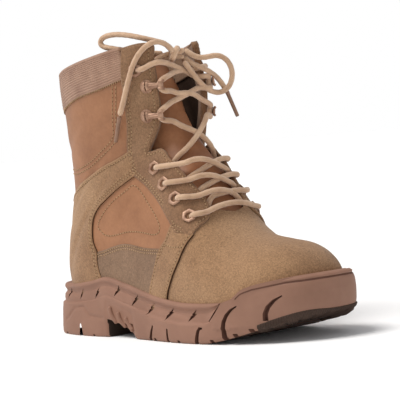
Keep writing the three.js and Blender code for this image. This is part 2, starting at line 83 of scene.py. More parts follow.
# Sections of the outer form of the upper, from toe tip to collar, as in the solid model:
# back x and z, front x and z, lateral and medial half widths, centre, widest, two powers.
LAST = np.array([
    [142, 30, 142.5, 42, 4, 4, 8, 0.50, 2.0, 2.0],
    [141, 22, 141.5, 50, 16, 16, 8, 0.45, 2.2, 2.2],
    [137, 14, 137.5, 58, 27, 26, 7, 0.40, 2.4, 2.3],
    [130, 9, 130.5, 65, 36, 34, 6, 0.38, 2.5, 2.4],
    [119, 6, 118, 71, 43.5, 40, 5, 0.36, 2.6, 2.4],
    [106, 4, 102, 74, 49, 43.5, 3.5, 0.34, 2.7, 2.3],
    [86, 3, 80, 79, 51.5, 44.5, 2, 0.32, 2.8, 2.2],
    [62, 3, 61, 90.5, 51.5, 44, 1, 0.28, 2.8, 2.4],
    [36, 4, 43, 112.5, 49.5, 42.5, 0.5, 0.23, 2.8, 2.5],
    [4, 6, 31, 135.5, 46, 41, 0, 0.21, 2.8, 2.45],
    [-34, 10, 25.5, 153, 42.5, 40, 0, 0.23, 3.0, 2.3],
    [-76, 12, 24, 165, 40, 39, 0, 0.27, 3.2, 2.15],
    [-120, 16, 23, 175, 39, 39, 0, 0.34, 3.4, 2.0],
    [-142, 42, 22, 182, 38, 39, 0, 0.43, 2.4, 2.0],
    [-142.5, 68, 21.5, 189, 37, 40, 0, 0.46, 2.2, 2.0],
    [-133, 98, 20.5, 196, 38, 41, 0, 0.48, 2.1, 2.0],
    [-129, 124, 18.5, 203, 40, 41, 0, 0.49, 2.1, 2.1],
    [-129.5, 150, 16, 211, 41.5, 41, 0, 0.50, 2.1, 2.1],
    [-130.5, 178, 13.5, 219, 43, 41.5, 0, 0.50, 2.1, 2.1],
    [-131.5, 200, 11, 227, 44, 42, 0, 0.50, 2.1, 2.2],
    [-131.5, 216, 9, 235, 44, 42.5, 0, 0.50, 2.1, 2.2],
])
COLLAR = len(LAST) - 1
FLOOR = [(-165, 31), (-120, 30), (-80, 29), (-40, 25), (0, 19.5), (30, 17), (60, 17), (95, 19),
         (125, 23), (165, 29)]
RAND = [(-165, 43), (-110, 43), (-82, 46), (-62, 49), (-40, 45), (0, 36.5), (35, 31.5),
        (60, 30.5), (90, 31.5), (100, 35), (107, 41), (115, 44), (135, 47.5), (165, 50)]
LEDGE = [(-165, 28), (-110, 28), (-82, 31), (-62, 35), (-40, 30), (0, 21), (35, 16.5), (60, 16),
         (80, 17.5), (92, 21), (100, 32), (107, 40), (115, 43), (135, 46.5), (165, 49)]
GROUND = [(-165, 0), (-40, 0), (20, 0), (64, 0), (84, 2.6), (104, 7), (124, 12.5), (142, 18),
          (165, 25)]
ARCH = [(-68.6, 0), (-67.2, 14), (-64, 17.5), (-60, 18.5), (-42, 15.5), (-25, 9.5), (-17, 4),
        (-13.5, 0)]

# Soft creases where the shaft folds over the ankle: middle (station, around), half lengths
# along both, slope between them, and depth in mm.
CREASES = [
    (13.1, 0.62, 0.9, 0.20, -2.5, 0.9), (14.6, 0.66, 0.8, 0.24, -2.0, 0.7),
    (11.6, 0.36, 0.7, 0.10, 3.0, 0.6), (6.3, 0.16, 0.5, 0.16, 1.0, 0.45),
    (7.0, 0.30, 0.4, 0.10, 1.5, 0.35), (17.0, 0.75, 0.9, 0.22, -1.5, 0.7),
    (16.3, 0.50, 0.9, 0.12, 2.0, 0.5),
]


def last_point(station, around):
    station, around = np.broadcast_arrays(np.asarray(station, float), np.asarray(around, float))
    (back_x, back_z, front_x, front_z, lateral, medial, centre, widest, back_power,
     front_power) = [smooth_at(column, station) for column in LAST.T]
    angle = np.abs(around) * math.pi
    front = np.abs(around) <= 0.5
    power = 2 / np.where(front, front_power, back_power)
    reach = np.abs(np.cos(angle)) ** power
    height = np.where(front, widest + (1 - widest) * reach, widest * (1 - reach))
    side = np.where(around < 0, lateral, medial) * np.abs(np.sin(angle)) ** power
    return np.stack([back_x + (front_x - back_x) * height, centre + np.sign(around) * side,
                     back_z + (front_z - back_z) * height], -1)


def wrapped(around):
    return (np.asarray(around, float) + 1) % 2 - 1


def tangents(station, around):
    """Change of the surface per station and per unit of around."""
    low, high = np.maximum(station - 0.05, 0), np.minimum(station + 0.05, COLLAR)
    along = (last_point(high, around) - last_point(low, around)) / (high - low)[..., None]
    eps = 0.004
    across = (last_point(station, wrapped(around + eps))
              - last_point(station, wrapped(around - eps))) / (2 * eps)
    return along, across


def unit(v):
    return v / np.maximum(np.linalg.norm(v, axis=-1, keepdims=True), 1e-12)


def crease_depth(station, around):
    total = np.zeros(np.broadcast(station, around).shape)
    for s, a, long_s, long_a, slope, depth in CREASES:
        ds = station - s - slope * (np.abs(around) - a)
        across = np.exp(-(ds / 0.22) ** 2) - 0.55 * np.exp(-((ds - 0.42) / 0.26) ** 2)
        reach = np.exp(-((np.abs(around) - a) / long_a) ** 2 - ((station - s) / long_s) ** 2)
        total += depth * across * reach
    return total


def upper_point(station, around, out=0.0):
    """Point of the upper, moved outwards by out."""
    station = np.asarray(station, float)
    around = wrapped(around)
    station, around = np.broadcast_arrays(station, around)
    along, across = tangents(station, around)
    normal = unit(np.cross(across, along))
    lift = np.asarray(out, float) - crease_depth(station, around)
    return last_point(station, around) + normal * lift[..., None]


def upper_normal(station, around):
    along, across = tangents(np.asarray(station, float), wrapped(around))
    return unit(np.cross(across, along))


def shifted(path, distance):
    """A path of (station, around) moved sideways in the surface, to its left seen from outside."""
    path = np.asarray(path, float)
    step = np.gradient(path, axis=0)
    along, across = tangents(path[:, 0], wrapped(path[:, 1]))
    direction = unit(along * step[:, :1] + across * step[:, 1:])
    normal = unit(np.cross(across, along))
    left = np.cross(normal, direction) * distance
    e, f, g = (along ** 2).sum(-1), (along * across).sum(-1), (across ** 2).sum(-1)
    p, q = (left * along).sum(-1), (left * across).sum(-1)
    det = e * g - f * f
    return path + np.stack([(g * p - f * q) / det, (e * q - f * p) / det], -1)


# ---- Pieces ----

def piece(name, points, faces, materials, slot, replaces=(), face_materials=None, uv=None,
          sharp=None):
    mesh = bpy.data.meshes.new(name)
    mesh.from_pydata((np.asarray(points) * MM).tolist(), [], [list(map(int, f)) for f in faces])
    for material in materials:
        mesh.materials.append(material)
    if face_materials is not None:
        mesh.polygons.foreach_set("material_index", np.asarray(face_materials, np.int32))
    if uv is not None:
        layer = mesh.uv_layers.new(name="UVMap")
        corners = np.empty(len(mesh.loops), np.int32)
        mesh.loops.foreach_get("vertex_index", corners)
        layer.data.foreach_set("uv", np.asarray(uv, np.float32)[corners].ravel())
    mesh.polygons.foreach_set("use_smooth", np.ones(len(mesh.polygons), bool))
    mesh.validate()
    if sharp is not None:
        mesh.set_sharp_from_angle(angle=math.radians(sharp))
    obj = bpy.data.objects.new(name, mesh)
    bpy.context.scene.collection.objects.link(obj)
    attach(obj, "root")
    if replaces:
        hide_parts(*replaces)
    return obj


def grid_faces(rows, columns, start=0, closed=False, flip=False):
    """Quads of a grid of points, row by row."""
    r, c = np.meshgrid(np.arange(rows - 1), np.arange(columns if closed else columns - 1),
                       indexing="ij")
    a = start + r * columns + c
    b = start + r * columns + (c + 1) % columns
    quads = np.stack([a, b, b + columns, a + columns], -1).reshape(-1, 4)
    return quads[:, ::-1] if flip else quads


class Mesh:
    """Points and faces gathered for one piece."""

    def __init__(self):
        self.points, self.faces, self.uv, self.kinds, self.count = [], [], [], [], 0

    def add(self, points, faces, uv=None, kind=0):
        points = np.asarray(points, float).reshape(-1, 3)
        self.points.append(points)
        self.faces.extend((np.asarray(f) + self.count).tolist() for f in faces)
        self.kinds.extend([kind] * len(faces))
        self.uv.append(np.zeros((len(points), 2)) if uv is None else np.asarray(uv))
        self.count += len(points)

    def make(self, name, materials, slot, **more):
        return piece(name, np.concatenate(self.points), self.faces, materials, slot,
                     face_materials=self.kinds, uv=np.concatenate(self.uv), **more)


def add_sheet(mesh, front, rear, kind=0):
    """Closed form between two grids of points of the same size."""
    rows, columns = front.shape[:2]
    size = rows * columns
    border = [r * columns for r in range(rows)]
    border += [(rows - 1) * columns + c for c in range(1, columns)]
    border += [r * columns + columns - 1 for r in range(rows - 2, -1, -1)]
    border += list(range(columns - 2, -1, -1))
    rim = [(a, b, b + size, a + size) for a, b in zip(border, border[1:])]
    mesh.add(np.concatenate([front.reshape(-1, 3), rear.reshape(-1, 3)]), np.concatenate([
        grid_faces(rows, columns), grid_faces(rows, columns, size)[:, ::-1], rim]), kind=kind)


def merged(obj, distance=1e-5):
    """Joins points that lie on each other and turns all faces outwards."""
    bm = bmesh.new()
    bm.from_mesh(obj.data)
    bmesh.ops.remove_doubles(bm, verts=bm.verts, dist=distance)
    bmesh.ops.recalc_face_normals(bm, faces=bm.faces)
    bm.to_mesh(obj.data)
    bm.free()
    return obj


def even_curve(curve, step):
    run = np.concatenate([[0], np.cumsum(np.linalg.norm(np.diff(curve, axis=0), axis=1))])
    places = np.linspace(0, run[-1], max(int(round(run[-1] / step)), 2) + 1)
    return np.stack([np.interp(places, run, curve[:, k]) for k in range(3)], -1)


def smooth_route(points, step, ease=0.0):
    """Even points along a Catmull-Rom curve, eased over a length in mm like a soft lace."""
    points = np.asarray(points, float)
    fine = np.linspace(0, len(points) - 1, 24 * (len(points) - 1) + 1)
    curve = even_curve(np.stack([smooth_at(points[:, k], fine) for k in range(3)], -1), step)
    for _ in range(int((ease / step) ** 2)):
        curve[1:-1] += 0.5 * (0.5 * (curve[:-2] + curve[2:]) - curve[1:-1])
    return even_curve(curve, step)


def route_frames(route):
    """Two directions across a route that turn with it as little as possible."""
    tangent = unit(np.gradient(route, axis=0))
    side = np.cross(tangent[0], [0.3, 0.2, 1.0])
    sides = []
    for t in tangent:
        side = unit(side - t * (side @ t))
        sides.append(side)
    sides = np.array(sides)
    return tangent, sides, np.cross(tangent, sides)


def braided_tube(mesh, route, radius, around=14, braid=0.05, round_ends=True):
    """Adds a lace along a route, its strands standing a little proud in a braid."""
    tangent, side, up = route_frames(route)
    run = np.concatenate([[0], np.cumsum(np.linalg.norm(np.diff(route, axis=0), axis=1))])
    angle = np.arange(around) * 2 * math.pi / around
    turns = run[:, None] / (radius * 2.6) * math.pi
    weave = np.sin(3 * angle[None] + turns) * np.sin(3 * angle[None] - turns)
    r = radius * (1 - braid + braid * weave)
    if round_ends:
        near = np.minimum(run, run[-1] - run)
        r = r * np.sqrt(np.clip(near / radius * 1.6 + 0.12, 0.12, 1))[:, None]
    points = (route[:, None] + r[..., None] * (np.cos(angle)[None, :, None] * side[:, None]
                                               + np.sin(angle)[None, :, None] * up[:, None]))
    faces = grid_faces(len(route), around, closed=True).tolist()
    faces.append(list(range(around))[::-1])
    faces.append([(len(route) - 1) * around + k for k in range(around)])
    uv = np.stack(np.broadcast_arrays(angle[None] / (2 * math.pi),
                                      run[:, None] / (2 * math.pi * radius)), -1)
    mesh.add(points, faces, uv=uv.reshape(-1, 2))


# ---- Materials ----

def colour(r, g, b):
    """Linear colour from the usual 0-255 values."""
    return tuple((c / 255 / 12.92) if c <= 10 else ((c / 255 + 0.055) / 1.055) ** 2.4
                 for c in (r, g, b)) + (1.0,)


class Look:
    """A principled material with a few helpers for its nodes."""

    def __init__(self, name, roughness, specular=0.3, metallic=0.0, sheen=0.0):
        self.material = bpy.data.materials.new(name)
        self.material.use_nodes = True
        self.nodes = self.material.node_tree.nodes
        self.links = self.material.node_tree.links
        self.shader = self.nodes["Principled BSDF"]
        self.shader.inputs["Roughness"].default_value = roughness
        self.shader.inputs["Specular IOR Level"].default_value = specular
        self.shader.inputs["Metallic"].default_value = metallic
        self.shader.inputs["Sheen Weight"].default_value = sheen
        self.shader.inputs["Sheen Roughness"].default_value = 0.6
        self.place = self.nodes.new("ShaderNodeTexCoord").outputs["Object"]
        self.height = None

    def node(self, kind, **inputs):
        made = self.nodes.new(kind)
        for key, value in inputs.items():
            made.inputs[key.replace("_", " ")].default_value = value
        return made

    def noise(self, scale, detail=3.0, roughness=0.55, source=None):
        made = self.node("ShaderNodeTexNoise", Scale=scale, Detail=detail, Roughness=roughness)
        self.links.new(source or self.place, made.inputs["Vector"])
        return made.outputs["Fac"]

    def cells(self, scale, source=None):
        made = self.node("ShaderNodeTexVoronoi", Scale=scale)
        self.links.new(source or self.place, made.inputs["Vector"])
        return made.outputs["Distance"]

    def stretched(self, scale, source=None):
        made = self.node("ShaderNodeMapping", Scale=scale)
        self.links.new(source or self.place, made.inputs["Vector"])
        return made.outputs["Vector"]

    def waves(self, scale, source, distortion=0.0, direction="X"):
        made = self.node("ShaderNodeTexWave", Scale=scale, Distortion=distortion)
        made.bands_direction = direction
        self.links.new(source, made.inputs["Vector"])
        return made.outputs["Fac"]

    def ramp(self, factor, stops):
        made = self.nodes.new("ShaderNodeValToRGB")
        elements = made.color_ramp.elements
        while len(elements) < len(stops):
            elements.new(0.5)
        for element, (position, value) in zip(elements, stops):
            element.position = position
            element.color = value
        self.links.new(factor, made.inputs["Fac"])
        return made.outputs["Color"]

    def mix(self, factor, a, b, kind="MIX"):
        made = self.nodes.new("ShaderNodeMix")
        made.data_type = "RGBA"
        made.blend_type = kind
        sockets = [made.inputs[0], made.inputs[6], made.inputs[7]]
        for socket, value in zip(sockets, (factor, a, b)):
            if isinstance(value, (float, int, tuple)):
                socket.default_value = value
            else:
                self.links.new(value, socket)
        return made.outputs[2]

    def colours(self, value):
        self.links.new(value, self.shader.inputs["Base Color"])
        return self

    def bump(self, height, distance_mm, strength=1.0):
        made = self.node("ShaderNodeBump", Strength=strength, Distance=distance_mm * MM)
        self.links.new(height, made.inputs["Height"])
        if self.height is not None:
            self.links.new(self.height, made.inputs["Normal"])
        self.height = made.outputs["Normal"]
        self.links.new(self.height, self.shader.inputs["Normal"])
        return self


def suede(name, dark, light, worn):
    look = Look(name, 0.95, specular=0.12, sheen=0.12)
    nap = look.noise(900, 4, 0.7)
    cloud = look.noise(38, 4, 0.6)
    brushed = look.noise(7, 2, 0.5, look.stretched((1.0, 1.0, 1.7)))
    base = look.ramp(cloud, [(0.30, dark), (0.70, light)])
    base = look.mix(look.ramp(brushed, [(0.42, (0, 0, 0, 1)), (0.68, (1, 1, 1, 1))]), base, worn)
    base = look.mix(0.5, base, look.ramp(look.noise(380, 3, 0.6), [
        (0.35, (0.80, 0.79, 0.78, 1)), (0.62, (1.09, 1.09, 1.09, 1))]), "MULTIPLY")
    grain = look.ramp(nap, [(0.32, (0.50, 0.49, 0.48, 1)), (0.68, (1.28, 1.28, 1.28, 1))])
    look.colours(look.mix(0.75, base, grain, "MULTIPLY"))
    look.bump(nap, 0.35, 0.5)
    look.bump(look.noise(160, 3), 0.35, 0.5)
    return look.material


def smooth_leather(name, dark, light, roughness=0.55):
    look = Look(name, roughness, specular=0.3)
    cloud = look.noise(30, 4, 0.6)
    look.colours(look.mix(0.5, look.ramp(cloud, [(0.30, dark), (0.70, light)]),
                          look.ramp(look.noise(420, 3), [(0.3, (0.85, 0.85, 0.85, 1)),
                                                         (0.7, (1.1, 1.1, 1.1, 1))]), "MULTIPLY"))
    look.bump(look.cells(700), 0.10, 0.5)
    look.bump(look.noise(240, 4), 0.20, 0.5)
    return look.material


def rubber(name, dark, light, roughness=0.62):
    look = Look(name, roughness, specular=0.35)
    look.colours(look.ramp(look.noise(24, 4, 0.6), [(0.30, dark), (0.70, light)]))
    look.bump(look.noise(500, 3), 0.08, 0.4)
    return look.material


def cloth(name, dark, light, scale, roughness=0.9, depth=0.25, sheen=0.15):
    """Plain weave from two sets of fine waves."""
    look = Look(name, roughness, specular=0.15, sheen=sheen)
    warp = look.waves(scale, look.place, 0.6, "Z")
    weft = look.waves(scale, look.place, 0.6, "DIAGONAL")
    weave = look.mix(0.5, warp, weft)
    cloud = look.noise(60, 3)
    base = look.ramp(cloud, [(0.3, dark), (0.7, light)])
    look.colours(look.mix(0.55, base, look.ramp(weave, [(0.2, (0.7, 0.7, 0.7, 1)),
                                                        (0.8, (1.15, 1.15, 1.15, 1))]),
                          "MULTIPLY"))
    look.bump(weave, depth, 0.6)
    return look.material


def braid(name, dark, light):
    """Round braid whose pattern follows the lace by its own coordinates."""
    look = Look(name, 0.85, specular=0.2, sheen=0.3)
    coordinates = look.nodes.new("ShaderNodeTexCoord").outputs["UV"]
    one = look.waves(1.0, look.stretched((9.0, 6.0, 1.0), coordinates), 0.0, "DIAGONAL")
    two = look.waves(1.0, look.stretched((-9.0, 6.0, 1.0), coordinates), 0.0, "DIAGONAL")
    pattern = look.mix(1.0, one, two, "MULTIPLY")
    fuzz = look.noise(1500, 3)
    base = look.ramp(look.noise(90, 3), [(0.3, dark), (0.7, light)])
    shade = look.ramp(pattern, [(0.0, (0.80, 0.78, 0.76, 1)), (0.6, (1.08, 1.08, 1.08, 1))])
    look.colours(look.mix(0.8, base, shade, "MULTIPLY"))
    look.bump(pattern, 0.35, 0.5)
    look.bump(fuzz, 0.15, 0.4)
    return look.material


def metal(name, dark, light):
    look = Look(name, 0.46, specular=0.4, metallic=0.3)
    look.colours(look.ramp(look.noise(220, 4), [(0.35, dark), (0.65, light)]))
    look.bump(look.noise(700, 3), 0.04, 0.4)
    return look.material


def plain(name, shade, roughness=0.8):
    look = Look(name, roughness, specular=0.2)
    look.colours(look.ramp(look.noise(300, 3), [
        (0.3, tuple(0.75 * c for c in shade[:3]) + (1,)), (0.7, shade)]))
    look.bump(look.noise(800, 2), 0.08, 0.4)
    return look.material


SUEDE = suede("suede_tan", colour(139, 104, 74), colour(158, 122, 89), colour(168, 133, 99))
# Painted shade: the tan suede darkened, for the facings, the inner strip, the throat edges and the
# inside of the collar band.
SUEDE_SHADED = suede("suede_painted_shade", colour(125, 92, 67), colour(143, 109, 81),
                     colour(152, 119, 90))
SUEDE_GREY = suede("suede_grey", colour(122, 94, 72), colour(139, 110, 86),
                   colour(147, 119, 94))
TAN = smooth_leather("leather_tan", colour(142, 97, 67), colour(161, 113, 80))
TONGUE_LEATHER = smooth_leather("leather_tongue", colour(140, 92, 62), colour(165, 114, 80), 0.5)
LINING = cloth("lining_cloth", colour(44, 29, 20), colour(62, 42, 30), 900, sheen=0.0)
# Dark edge colour of the cut panel edges, partly painted shade under the raised edges; also painted
# shade in the hook slots.
EDGE = plain("cut_edge_and_painted_shade", colour(78, 54, 38), 0.9)
BAND = cloth("collar_webbing", colour(146, 111, 92), colour(172, 137, 115), 2600, depth=0.06)
WEBBING = cloth("loop_webbing", colour(66, 46, 38), colour(92, 66, 54), 900)
RUBBER = rubber("sole_rubber", colour(131, 95, 77), colour(147, 109, 90))
# Dark outsole rubber, partly painted shade: used under the sole, in the arch opening and on the toe
# tread.
RUBBER_DARK = rubber("tread_rubber_and_painted_shade", colour(50, 36, 28), colour(70, 52, 42), 0.8)
# Painted shade: darker rubber for the faces of the grooves, slits and zigzag recesses.
RUBBER_RECESS_SHADE = rubber("sole_recess_painted_shade", colour(84, 54, 42), colour(104, 70, 56), 0.8)
LACE = braid("lace_braid", colour(192, 155, 124), colour(218, 184, 152))
TIP = plain("lace_tip", colour(150, 118, 98), 0.35)
THREAD = plain("thread_tan", colour(182, 150, 114), 0.7)
# Painted shade: darker brown for the needle holes.
NEEDLE_HOLE = plain("needle_hole_painted_shade", colour(112, 82, 58), 0.9)
FITTING = metal("fitting_bronze", colour(140, 104, 83), colour(182, 145, 120))
# Painted shade: near-black for the inside of the eyelet bores.
HOLE = plain("hole_painted_shade", colour(24, 18, 14), 0.9)


# ---- Camera, light and floor ----

AZIMUTH, ELEVATION, ROLL = math.radians(49.7), math.radians(2.1), math.radians(-5.1)
TARGET = np.array([15.3, 0, 103.6])
DISTANCE = 1327.9
back = np.array([math.sin(AZIMUTH) * math.cos(ELEVATION),
                 -math.cos(AZIMUTH) * math.cos(ELEVATION), math.sin(ELEVATION)])
level = np.array([math.cos(AZIMUTH), math.sin(AZIMUTH), 0])
raised = np.cross(back, level)
right = math.cos(ROLL) * level + math.sin(ROLL) * raised
upward = math.cos(ROLL) * raised - math.sin(ROLL) * level

camera = bpy.data.objects.new("camera", bpy.data.cameras.new("camera"))
bpy.context.scene.collection.objects.link(camera)
camera.data.sensor_width = 36
camera.data.lens = 150.45
camera.data.shift_y = 0.008
camera.data.clip_start, camera.data.clip_end = 0.05, 50
camera.matrix_world = Matrix.Translation(Vector((TARGET + back * DISTANCE) * MM)) @ Matrix(
    np.stack([right, upward, back], 1).tolist()).to_4x4()
bpy.context.scene.camera = camera
bpy.context.scene.view_settings.view_transform = "Standard"

world = bpy.data.worlds.new("studio")
bpy.context.scene.world = world
world.use_nodes = True
sky_nodes, sky_links = world.node_tree.nodes, world.node_tree.links
sky_height = sky_nodes.new("ShaderNodeSeparateXYZ")
sky_links.new(sky_nodes.new("ShaderNodeTexCoord").outputs["Generated"], sky_height.inputs[0])
sky_tone = sky_nodes.new("ShaderNodeValToRGB")
sky_tone.color_ramp.elements[0].position = 0.16
sky_tone.color_ramp.elements[0].color = (1, 1, 1, 1)
sky_tone.color_ramp.elements[1].position = 0.30
sky_tone.color_ramp.elements[1].color = (0.42, 0.42, 0.43, 1)
sky_links.new(sky_height.outputs["Z"], sky_tone.inputs["Fac"])
sky_links.new(sky_tone.outputs["Color"], world.node_tree.nodes["Background"].inputs["Color"])

key = bpy.data.objects.new("key", bpy.data.lights.new("key", "SUN"))
bpy.context.scene.collection.objects.link(key)
key.data.energy = 2.7
key.data.angle = math.radians(32)
key.data.color = (1, 0.985, 0.96)
key.rotation_euler = Vector((-0.24, -0.42, 0.88)).to_track_quat("Z", "Y").to_euler()

floor_mesh = bpy.data.meshes.new("floor")
FLOOR_HALF = 60
floor_mesh.from_pydata([(x * FLOOR_HALF, y * FLOOR_HALF, 0) for x, y in
                        ((-1, -1), (1, -1), (1, 1), (-1, 1))], [], [(0, 1, 2, 3)])
floor = bpy.data.objects.new("floor", floor_mesh)
bpy.context.scene.collection.objects.link(floor)
floor_look = Look("floor_white", 0.9, specular=0.05)
floor_look.colours(floor_look.ramp(floor_look.noise(0.4, 1), [
    (0.3, (0.95, 0.95, 0.95, 1)), (0.7, (0.97, 0.97, 0.97, 1))]))
floor_mesh.materials.append(floor_look.material)


# ---- Lace ----

EYELETS = {1: (7.95, 0.225), 2: (8.85, 0.242), 3: (9.9, 0.258), 4: (11.2, 0.258),
           5: (18.05, 0.267)}
HOOKS = {1: (14.85, 0.275), 2: (16.7, 0.25)}
FACING_LIFT = 1.2


def fitting_frame(spot, side, lift):
    """Origin and three directions of a fitting: to the throat, across, and off the leather."""
    station, around = spot[0], side * spot[1]
    origin = upper_point(station, around, lift)
    out = upper_normal(np.array(station), np.array(around))
    inwards = unit(-np.cross([0, 0, np.sign(around)], out))
    return origin, np.stack([inwards, np.cross(out, inwards), out])


def in_frame(spot, side, lift, points):
    origin, axes = fitting_frame(spot, side, lift)
    return origin + np.asarray(points, float) @ axes


def into_eyelet(row, side):
    """End of a route that comes over the facing and goes in through its eyelet."""
    return in_frame(EYELETS[row], side, FACING_LIFT, [
        (7.5, 0, 4.0), (3.4, 0, 3.1), (1.0, 0, 0.2), (0.4, 0, -5), (3, 0, -8.5)])


def under_facing(row, side):
    """Start of a route that leaves an eyelet's inside and runs under the facing."""
    return in_frame(EYELETS[row], side, FACING_LIFT, [(0, 0, -4), (3, 0, -7.4), (9, 0, -6.6)])


def round_hook(row, side):
    """Turn of the lace round a hook's neck, from below to above."""
    turn = in_frame(HOOKS[row], side, FACING_LIFT, [(18, -5.2, 1.6), (13.0, -2.6, 1.3),
                                                    (13.0, 2.6, 1.3), (18, 5.2, 1.6)])
    return turn if turn[0][2] < turn[-1][2] else turn[::-1]


BAR = [(52.9, -26, 98), (53.8, -17, 101), (54.1, -8, 102.5), (54.1, 0, 103), (54.1, 8, 102.5),
       (53.6, 17, 101), (51.4, 26, 98)]
INSTEP = {
    1: [(44.2, -13, 108.2), (44.6, -7, 110.4), (45.2, 0, 112), (46.3, 10, 112.9),
        (45.1, 20, 112), (43.7, 25, 110.6)],
    2: [(38.4, -17, 116), (39.2, -9, 119.2), (39.2, 0, 122.5), (39.2, 10, 125),
        (37, 20, 125.2), (35.5, 24.5, 123.8)],
    3: [(32, -18.5, 127), (33.3, -10, 130.8), (33.2, 0, 135), (32.7, 10, 138),
        (30.2, 19, 138.2), (28.9, 22.5, 136.8)],
}
FREE = {
    (4, LATERAL): [(17, -20, 142.5), (19, -14, 146.5), (20.5, -7, 152.5), (20, 0, 158),
                   (17.5, 12, 169.5), (15, 15.5, 174)],
    (4, MEDIAL): [(14.5, 20, 142.5), (17, 13, 151.5), (17.5, 4, 158.5), (15.5, -4, 163),
                  (11.5, -11, 167), (9, -15, 171)],
    (5, LATERAL): [(9, -14, 186), (9, -8, 187.5), (10, 0, 190.5), (11, 8, 193.5),
                   (10.5, 13, 195.5)],
    (5, MEDIAL): [(11, 14.5, 186), (12, 8, 190), (11.5, 0, 192), (9.5, -8, 191.5),
                  (8.5, -13.5, 194.5)],
    (6, LATERAL): [(9, -15, 206.5), (7, -8, 209), (6, 0, 210), (5, 11, 210.5),
                   (7.4, 20, 211.5), (5.6, 25.5, 212.5)],
    (6, MEDIAL): [(7.5, 14, 204), (6.2, 7, 208.5), (6.4, -3, 212.5), (6.5, -14, 216.5),
                  (8, -23, 217.5), (4.6, -27, 217)],
}
BOW = {
    "lace_loop_lateral": [
        (1, -8, 232), (-4.5, -14, 235), (-14.5, -24, 239.5), (-25.5, -28, 242.5),
        (-37, -31, 244), (-48, -33, 243), (-52.5, -34, 239), (-49.5, -33, 235.5),
        (-41.5, -31, 233.5), (-34, -28, 231.5), (-25, -20, 229), (-13.5, -11, 226),
        (-7, -6, 225)],
    "lace_loop_medial": [
        (6.5, 6, 226.5), (9.5, 9, 222.5), (13.5, 14, 219), (18.5, 19, 219), (23, 25, 220),
        (27, 31, 216), (28, 35, 208), (26, 36, 200), (20, 36, 193), (14, 32, 190),
        (12, 25, 192), (12, 18, 196), (12, 10.5, 203), (11.5, 5, 210.5), (9, 1.5, 217)],
    "lace_end_lateral": [
        (7.5, -7, 225.5), (8, -14, 231), (6.4, -22, 234), (2.2, -29, 231.5),
        (-2.5, -34.5, 225), (-8, -37, 216.5), (-10.5, -39, 208.5), (-13.5, -40.5, 200.5),
        (-17, -41, 192.5), (-20.5, -41.5, 185), (-24, -42, 178.5)],
    "lace_end_medial": [
        (4, 6.5, 220.5), (8.5, 11, 214.5), (12.6, 19, 210.4), (13, 26, 206.5), (11.2, 33, 203),
        (10, 39.5, 197), (9.5, 43.5, 191.8)],
}
TIPS = {
    "lace_tip_lateral": [(-24.3, -42, 177.6), (-34, -40.5, 158)],
    "lace_tip_medial": [(9.7, 43.9, 190.9), (15.5, 48, 170)],
}
OVER = 2.2
LACE_STEP = 0.9
EASE = 4.5
KNOT = np.array([1, -0.5, 225.5])

for name, ends in TIPS.items():
    tip = Mesh()
    route = smooth_route(np.linspace(ends[0], ends[1], 4), 0.8)
    tangent, side, up = route_frames(route)
    angle = np.arange(20) * 2 * math.pi / 20
    share = np.linspace(0, 1, len(route))
    radii = TIP_RADIUS * np.where(share < 0.12, 1.1 - share, 0.96 - 0.06 * share)
    radii = radii * np.where(share > 0.97, 0.8, 1)
    ring = np.cos(angle)[None, :, None] * side[:, None] + np.sin(angle)[None, :, None] * up[:, None]
    tip.add(route[:, None] + radii[:, None, None] * ring,
            grid_faces(len(route), 20, closed=True).tolist()
            + [list(range(20))[::-1], [(len(route) - 1) * 20 + k for k in range(20)]])
    merged(tip.make("aglet_" + name[9:], [TIP], "lace_tip", replaces=[name],
                                 sharp=50))

for name, points in BOW.items():
    cord = Mesh()
    route = smooth_route(points, LACE_STEP, EASE)
    braided_tube(cord, route, LACE_RADIUS)
    obj = merged(cord.make(name.replace("lace", "bow"), [LACE], "lace", replaces=[name]))

lacing = Mesh()
braided_tube(lacing, smooth_route(
    np.concatenate([into_eyelet(1, LATERAL)[::-1], BAR, into_eyelet(1, MEDIAL)]), LACE_STEP, EASE),
    LACE_RADIUS)
for row, route in INSTEP.items():
    middle = (len(route) - 1) / 2
    for side, lift in ((LATERAL, OVER), (MEDIAL, -OVER)):
        hump = lift * np.maximum(1 - np.abs(np.arange(len(route)) - middle) / middle, 0)
        points = np.array([(x + 0.8 * h, side * y, z + 0.6 * h)
                           for (x, y, z), h in zip(route, hump)])
        braided_tube(lacing, smooth_route(np.concatenate([
            under_facing(row, -side), points, into_eyelet(row + 1, side)]), LACE_STEP, EASE),
            LACE_RADIUS)
for side in (LATERAL, MEDIAL):
    braided_tube(lacing, smooth_route(np.concatenate([
        under_facing(4, side), FREE[4, side], round_hook(1, -side), FREE[5, -side],
        round_hook(2, side), FREE[6, side], into_eyelet(5, -side)[:4],
        in_frame(EYELETS[5], -side, FACING_LIFT, [(4, 0, -8), (9, 0, -6)]),
        [KNOT + (-7, -side * 12, -4), KNOT + (-1, -side * 2, -1)]]), LACE_STEP, EASE), LACE_RADIUS)
merged(lacing.make("lacing", [LACE], "lace", replaces=[
    "lace_bar"] + [f"lace_cross_{k}" for k in range(1, 7)]))

knot = Mesh()
turn = np.linspace(-0.92 * math.pi, 0.92 * math.pi, 25)[:, None]
slant = unit(0.5 * level + np.array([0, 0, 0.87]))
wrap = KNOT + back * 1.5 - np.array([0, 0, 2.2]) + slant * 5.2 * np.sin(turn) + back * (
    5.6 * np.cos(turn))
braided_tube(knot, smooth_route(wrap, LACE_STEP), LACE_RADIUS + 0.3)
braided_tube(knot, smooth_route([KNOT + (0, -8, 6), KNOT + (0.5, -3, 1.5), KNOT + (1, 2, -0.5),
                                 KNOT + (5.5, 6, 1)], LACE_STEP), LACE_RADIUS)
braided_tube(knot, smooth_route([KNOT + (6, -6.5, 0), KNOT + (0.5, -3, -3),
                                 KNOT + (0, 2, -4), KNOT + (4, 6.5, -5)], LACE_STEP), LACE_RADIUS)
merged(knot.make("bow_knot", [LACE], "lace", replaces=["lace_knot"]))


# ---- Upper: wall, lining and throat ----

